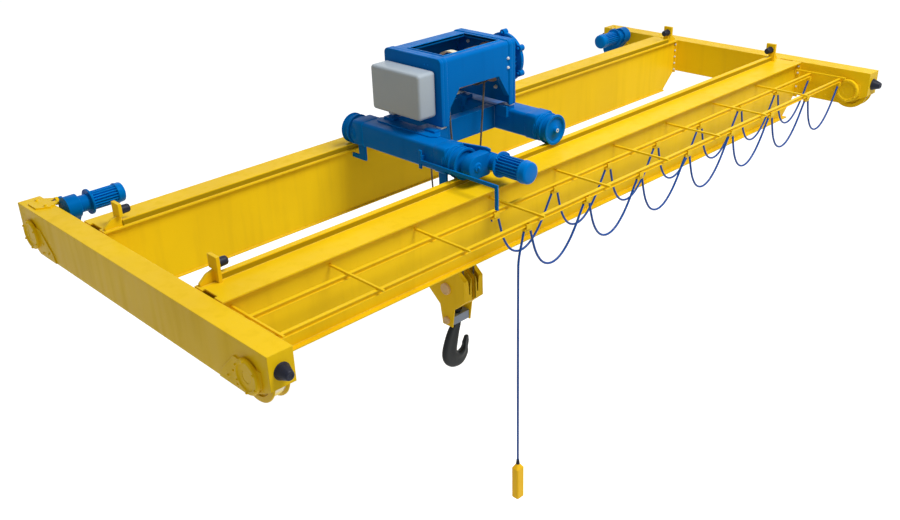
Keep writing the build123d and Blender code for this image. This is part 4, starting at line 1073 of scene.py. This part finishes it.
# %% Hook block
sheave_x = hook_x + sheave_out
front, slope_top, slope_z, roof_z = 0.250, 0.165, -0.872, -0.800
upper = [(slope_top, roof_z), (front, slope_z), (front, -1.096), (0.100, -1.228)]
foot = [(0.068, -1.440), (-0.068, -1.440)]
back = [(-y, z) for y, z in upper[::-1]]
wall = [(-0.033, -1.096), (0.060, -1.096), (0.060, slope_z), (0.022, slope_z), (0.011, -0.945),
        (0.008, -1.030), (-0.008, -1.030), (-0.011, -0.945), (-0.022, slope_z), (-0.033, slope_z)]
funnel = [(front, -1.096), (0.100, -1.228), (0.095, -1.221), (0.243, -1.091)]
floor_line = [(-0.100, -1.228), (0.100, -1.228), (0.096, -1.221), (-0.096, -1.221)]


def plate(outline, low, high, edge=0.0):
    """A plate across x on the right of the hook's middle, from an outline about the hook's line."""
    return prism(np.array(outline) + [hook_y, 0], "X", hook_x + low, hook_x + high, edge)


quarter = [prism(np.array(wall) + [sheave_x, 0], "Y", hook_y + 0.242, hook_y + front),
           plate(funnel, 0.024, 0.118)]
for low, high in (((-0.033, -0.022), (-0.033, -0.029)), ((0.022, 0.060), (0.030, 0.060))):
    skin = np.array([[(sheave_x + a, hook_y + front, slope_z) for a in low],
                     [(sheave_x + a, hook_y + slope_top, roof_z) for a in high]])
    inside = skin - [0, 0.006, 0.006]
    quarter.append(np.stack([skin[:, 0], skin[:, 1], inside[:, 1], inside[:, 0]], 1))
half = both_sides(quarter) + [plate(upper + foot + back, 0.115, 0.130, 0.002),
                              plate(upper + back, 0.022, 0.029, 0.001), plate(floor_line, 0.024, 0.118)]
dress("block_shell", half + [mirror_x(g, hook_x) for g in half], "hook_block",
      (block_yellow, "yellow_enamel"), "hook_block_plates")

pin = (hook_x, hook_y, sheave_z)
disc = np.array([(0.128, 0.001), (0.128, 0.060), (0.152, 0.060), (0.157, 0.055), (0.157, 0.044),
                 (0.154, 0.041), (0.154, 0.001)])
small = [(a, 0.038 * r / 0.060 if r > 0.01 else r) for a, r in disc]
heads = [spun([(-0.128, 0.034), (0.128, 0.034)], pin, (1, 0, 0), 32)]
for side in (-1, 1):
    heads += [spun(disc, pin, (side, 0, 0)), spun(small, (hook_x, hook_y, sheave_z - 0.354), (side, 0, 0), 40)]
dress("block_pin_heads", heads, "hook_block", (pin_metal, "block_steel"))

# %% [markdown]
# The hook swells from its round shank into a deep bow and tapers to the tip. Stations along it give the
# centre, heading, width and thickness. A Catmull-Rom curve runs through them, and each section is a rounded
# wedge, wider on the inside of the bow and hollowed along its middle: |u|^n + |v|^n = 1 with v scaled by
# (1 - k u) (1 - h (1 - u^2)^2).

# %% Hook
neck_z, bow_x, bow_z, throat, reach = -1.418, 0.024, -1.745, 0.056, 0.221
drop = neck_z - bow_z


def through(stations, per=8):
    """A Catmull-Rom curve: p1 + t (p2-p0)/2 + t2 (2p0-5p1+4p2-p3)/2 + t3 (3p1-3p2+p3-p0)/2."""
    p = np.concatenate([2 * stations[:1] - stations[1:2], stations, 2 * stations[-1:] - stations[-2:-1]])
    t = np.linspace(0, 1, per, endpoint=False)[None, :, None]
    p0, p1, p2, p3 = (p[k:len(p) - 3 + k, None] for k in range(4))
    bend, twist = 2 * p0 - 5 * p1 + 4 * p2 - p3, 3 * p1 - 3 * p2 + p3 - p0
    q = p1 + t * (p2 - p0) / 2 + t ** 2 * bend / 2 + t ** 3 * twist / 2
    return np.concatenate([q.reshape(-1, stations.shape[1]), stations[-1:]])


stations = [(x, neck_z - fall * drop, *rest) for x, fall, *rest in (
    (0, 0, 270, 0.076, 0.076), (-0.016, 0.14, 252, 0.098, 0.078), (-0.052, 0.33, 248, 0.134, 0.082),
    (-0.092, 0.64, 252, 0.164, 0.086))]
for angle, outer, thick in ((180, reach - 0.008, 0.088), (213, reach, 0.088), (246, reach, 0.088),
                            (279, reach - 0.006, 0.086), (312, 0.178, 0.078), (340, 0.142, 0.066)):
    a = math.radians(angle)
    near = (bow_x + throat * math.cos(a), bow_z + throat * math.sin(a))
    far = (outer * math.cos(a), bow_z + outer * math.sin(a))
    stations.append(((near[0] + far[0]) / 2, (near[1] + far[1]) / 2, angle + 90, math.dist(near, far), thick))
stations += [(bow_x + throat + x, bow_z + z, *rest) for x, z, *rest in (
    (0.036, 0.012, 446, 0.072, 0.058), (0.046, 0.052, 444, 0.054, 0.048), (0.050, 0.076, 444, 0.043, 0.040),
    (0.051, 0.086, 444, 0.022, 0.020))]
x, z, heading, width, thick = through(np.array(stations, float)).T[:, :, None]
a, turn = circle(40), np.radians(heading)
u = np.sign(np.cos(a)) * np.abs(np.cos(a)) ** 0.72
v = np.sign(np.sin(a)) * np.abs(np.sin(a)) ** 0.78 * (1 - 0.20 * u) * (1 - 0.24 * (1 - u ** 2) ** 2)
aside = width / 2 * u
bow = np.stack([hook_x + x + aside * np.sin(turn), hook_y + thick / 2 * v, z - aside * np.cos(turn)], -1)
shank = spun([(-1.425, 0.038), (-1.296, 0.038), (-1.296, 0.056), (-1.292, 0.058)], (hook_x, hook_y, 0),
             (0, 0, 1))
dress("forged_bow", [bow, shank], "hook", (hook_iron, "forged_hook"), "load_hook")

# %% [markdown]
# ## Bolts of the drives and the hoist
# Most heads on the machinery were painted over. A few near the drum are zinc plated and stay bright.

# %% Drive and hoist bolts
for side, base_x, way in ends_of_span:
    for name, x, radius, count, start, across in (("motor_flange", 0.367, 0.097, 4, 45, 0.014),
                                                  ("gearbox", 0.255, 0.088, 6, 15, 0.013)):
        places = ring_of((base_x + way * x, 3.043, 0.374), radius, count, "X", start)
        bolts(f"{side}_{name}_bolts", places, (way, 0, 0), across, "bridge", drive_blue)
    bolts(f"{side}_bracket_bolts", [(base_x + way * 0.02, y, 0.420) for y in (3.115, 3.29)], (0, 0, 1),
          0.022, "bridge", enamel)
face = fy0 + step_in
for name, places, axis, across, look in (
        ("trolley_motor_bolts", ring_of((2.878, 0.609, axle_z), 0.104, 4, "Y", 45), (0, -1, 0), 0.014,
         drive_blue),
        ("trolley_gear_plug", (2.693, 0.705, axle_z), (0, -1, 0), 0.022, drive_blue),
        ("hoist_gear_ear_bolts", ring_of((3.986, drum_y, drum_z), 0.234, 6, "X", 30), (1, 0, 0), 0.022,
         frame_blue),
        ("hoist_gear_ear_nuts", ring_of((3.926, drum_y, drum_z), 0.234, 6, "X", 30), (-1, 0, 0), 0.022,
         frame_blue),
        ("frame_bright_bolts", [(3.716, face, 1.190), (3.716, face, 1.105)], (0, -1, 0), 0.020, bright),
        ("frame_inner_bolts", [(3.768, 1.516, 0.880), (3.768, 1.868, 1.255)], (-1, 0, 0), 0.026, bright),
        ("frame_end_bolts", [(fx0, 1.504, 1.282), (fx0, 1.460, 1.282)], (-1, 0, 0), 0.009, drive_blue)):
    bolts(name, places, axis, across, "trolley", look)

# %% [markdown]
# The end of the trolley wheel's axle in front on the right shows a bright retaining ring.

# %% Axle ring
ring = [(-0.001, 0.018), (0.002, 0.018), (0.0035, 0.0165), (0.003, 0.0105), (-0.001, 0.0105)]
dress("axle_ring", spun(ring, (3.843, 0.827, axle_z), (0, -1, 0), 28), "trolley_right_wheels", bright,
      cap=False)

# %% [markdown]
# ## Floor, backdrop and lamps
# One large soft lamp stands high at the front right, so tops are bright, fronts are a shade darker and the
# left faces are darker still, as in the photograph. The world fills the rest. The floor and the world are
# white where the camera looks at them, and the floor still takes the crane's soft shadow.

# %% Floor
white = (1.0, 1.0, 1.0)
floor_z, floor_half = cad_low.z - 0.45, 70.0


def seen_ray(tree, *kinds):
    """1 for rays of the kinds named, so that only they see a white ground."""
    rays = add_node(tree, "ShaderNodeLightPath")
    seen = rays["Is Camera Ray"]
    for kind in kinds:
        seen = calc(tree, "MAXIMUM", seen, rays[kind])
    return seen


floor_mesh = bpy.data.meshes.new("floor")
floor_mesh.from_pydata([(x * floor_half, y * floor_half, floor_z)
                        for x, y in ((-1, -1), (1, -1), (1, 1), (-1, 1))], [], [(0, 1, 2, 3)])
floor = link("floor", floor_mesh)
floor_material, tree, shader = start_material("studio_floor")
feed(tree, shader, {"Base Color": (0.82, 0.82, 0.82), "Roughness": 0.9, "Specular IOR Level": 0.0,
                    "Emission Color": white,
                    "Emission Strength": calc(tree, "MULTIPLY", seen_ray(tree, "Is Glossy Ray"), 0.70)})
floor_mesh.materials.append(floor_material)
print("floor at", round(floor_z, 3))

# %% Lamp and world
key = bpy.data.lights.new("key", "AREA")
key.shape, key.size, key.energy = "SQUARE", 6.0, 1680.0
lamp = link("key", key)
lamp.location = (5.6, -4.8, 11.5)
lamp.rotation_euler = (Vector((3.9, 1.6, 0.2)) - lamp.location).to_track_quat("-Z", "Y").to_euler()
world = bpy.data.worlds.new("studio")
bpy.context.scene.world = world
world.use_nodes = True
tree = world.node_tree
seen = seen_ray(tree, "Is Glossy Ray", "Is Transmission Ray")
feed(tree, tree.nodes["Background"], {"Color": white, "Strength": ramp(tree, seen, 0.0, 1.0, 0.355, 1.0)})
bpy.context.scene.view_settings.view_transform = "Standard"
print("lamp power", key.energy)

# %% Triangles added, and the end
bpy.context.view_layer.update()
added = [o for o in bpy.data.objects if o.type == "MESH" and o.name not in nodes]
print("triangles added", sum(len(p.vertices) - 2 for o in added for p in o.data.polygons))
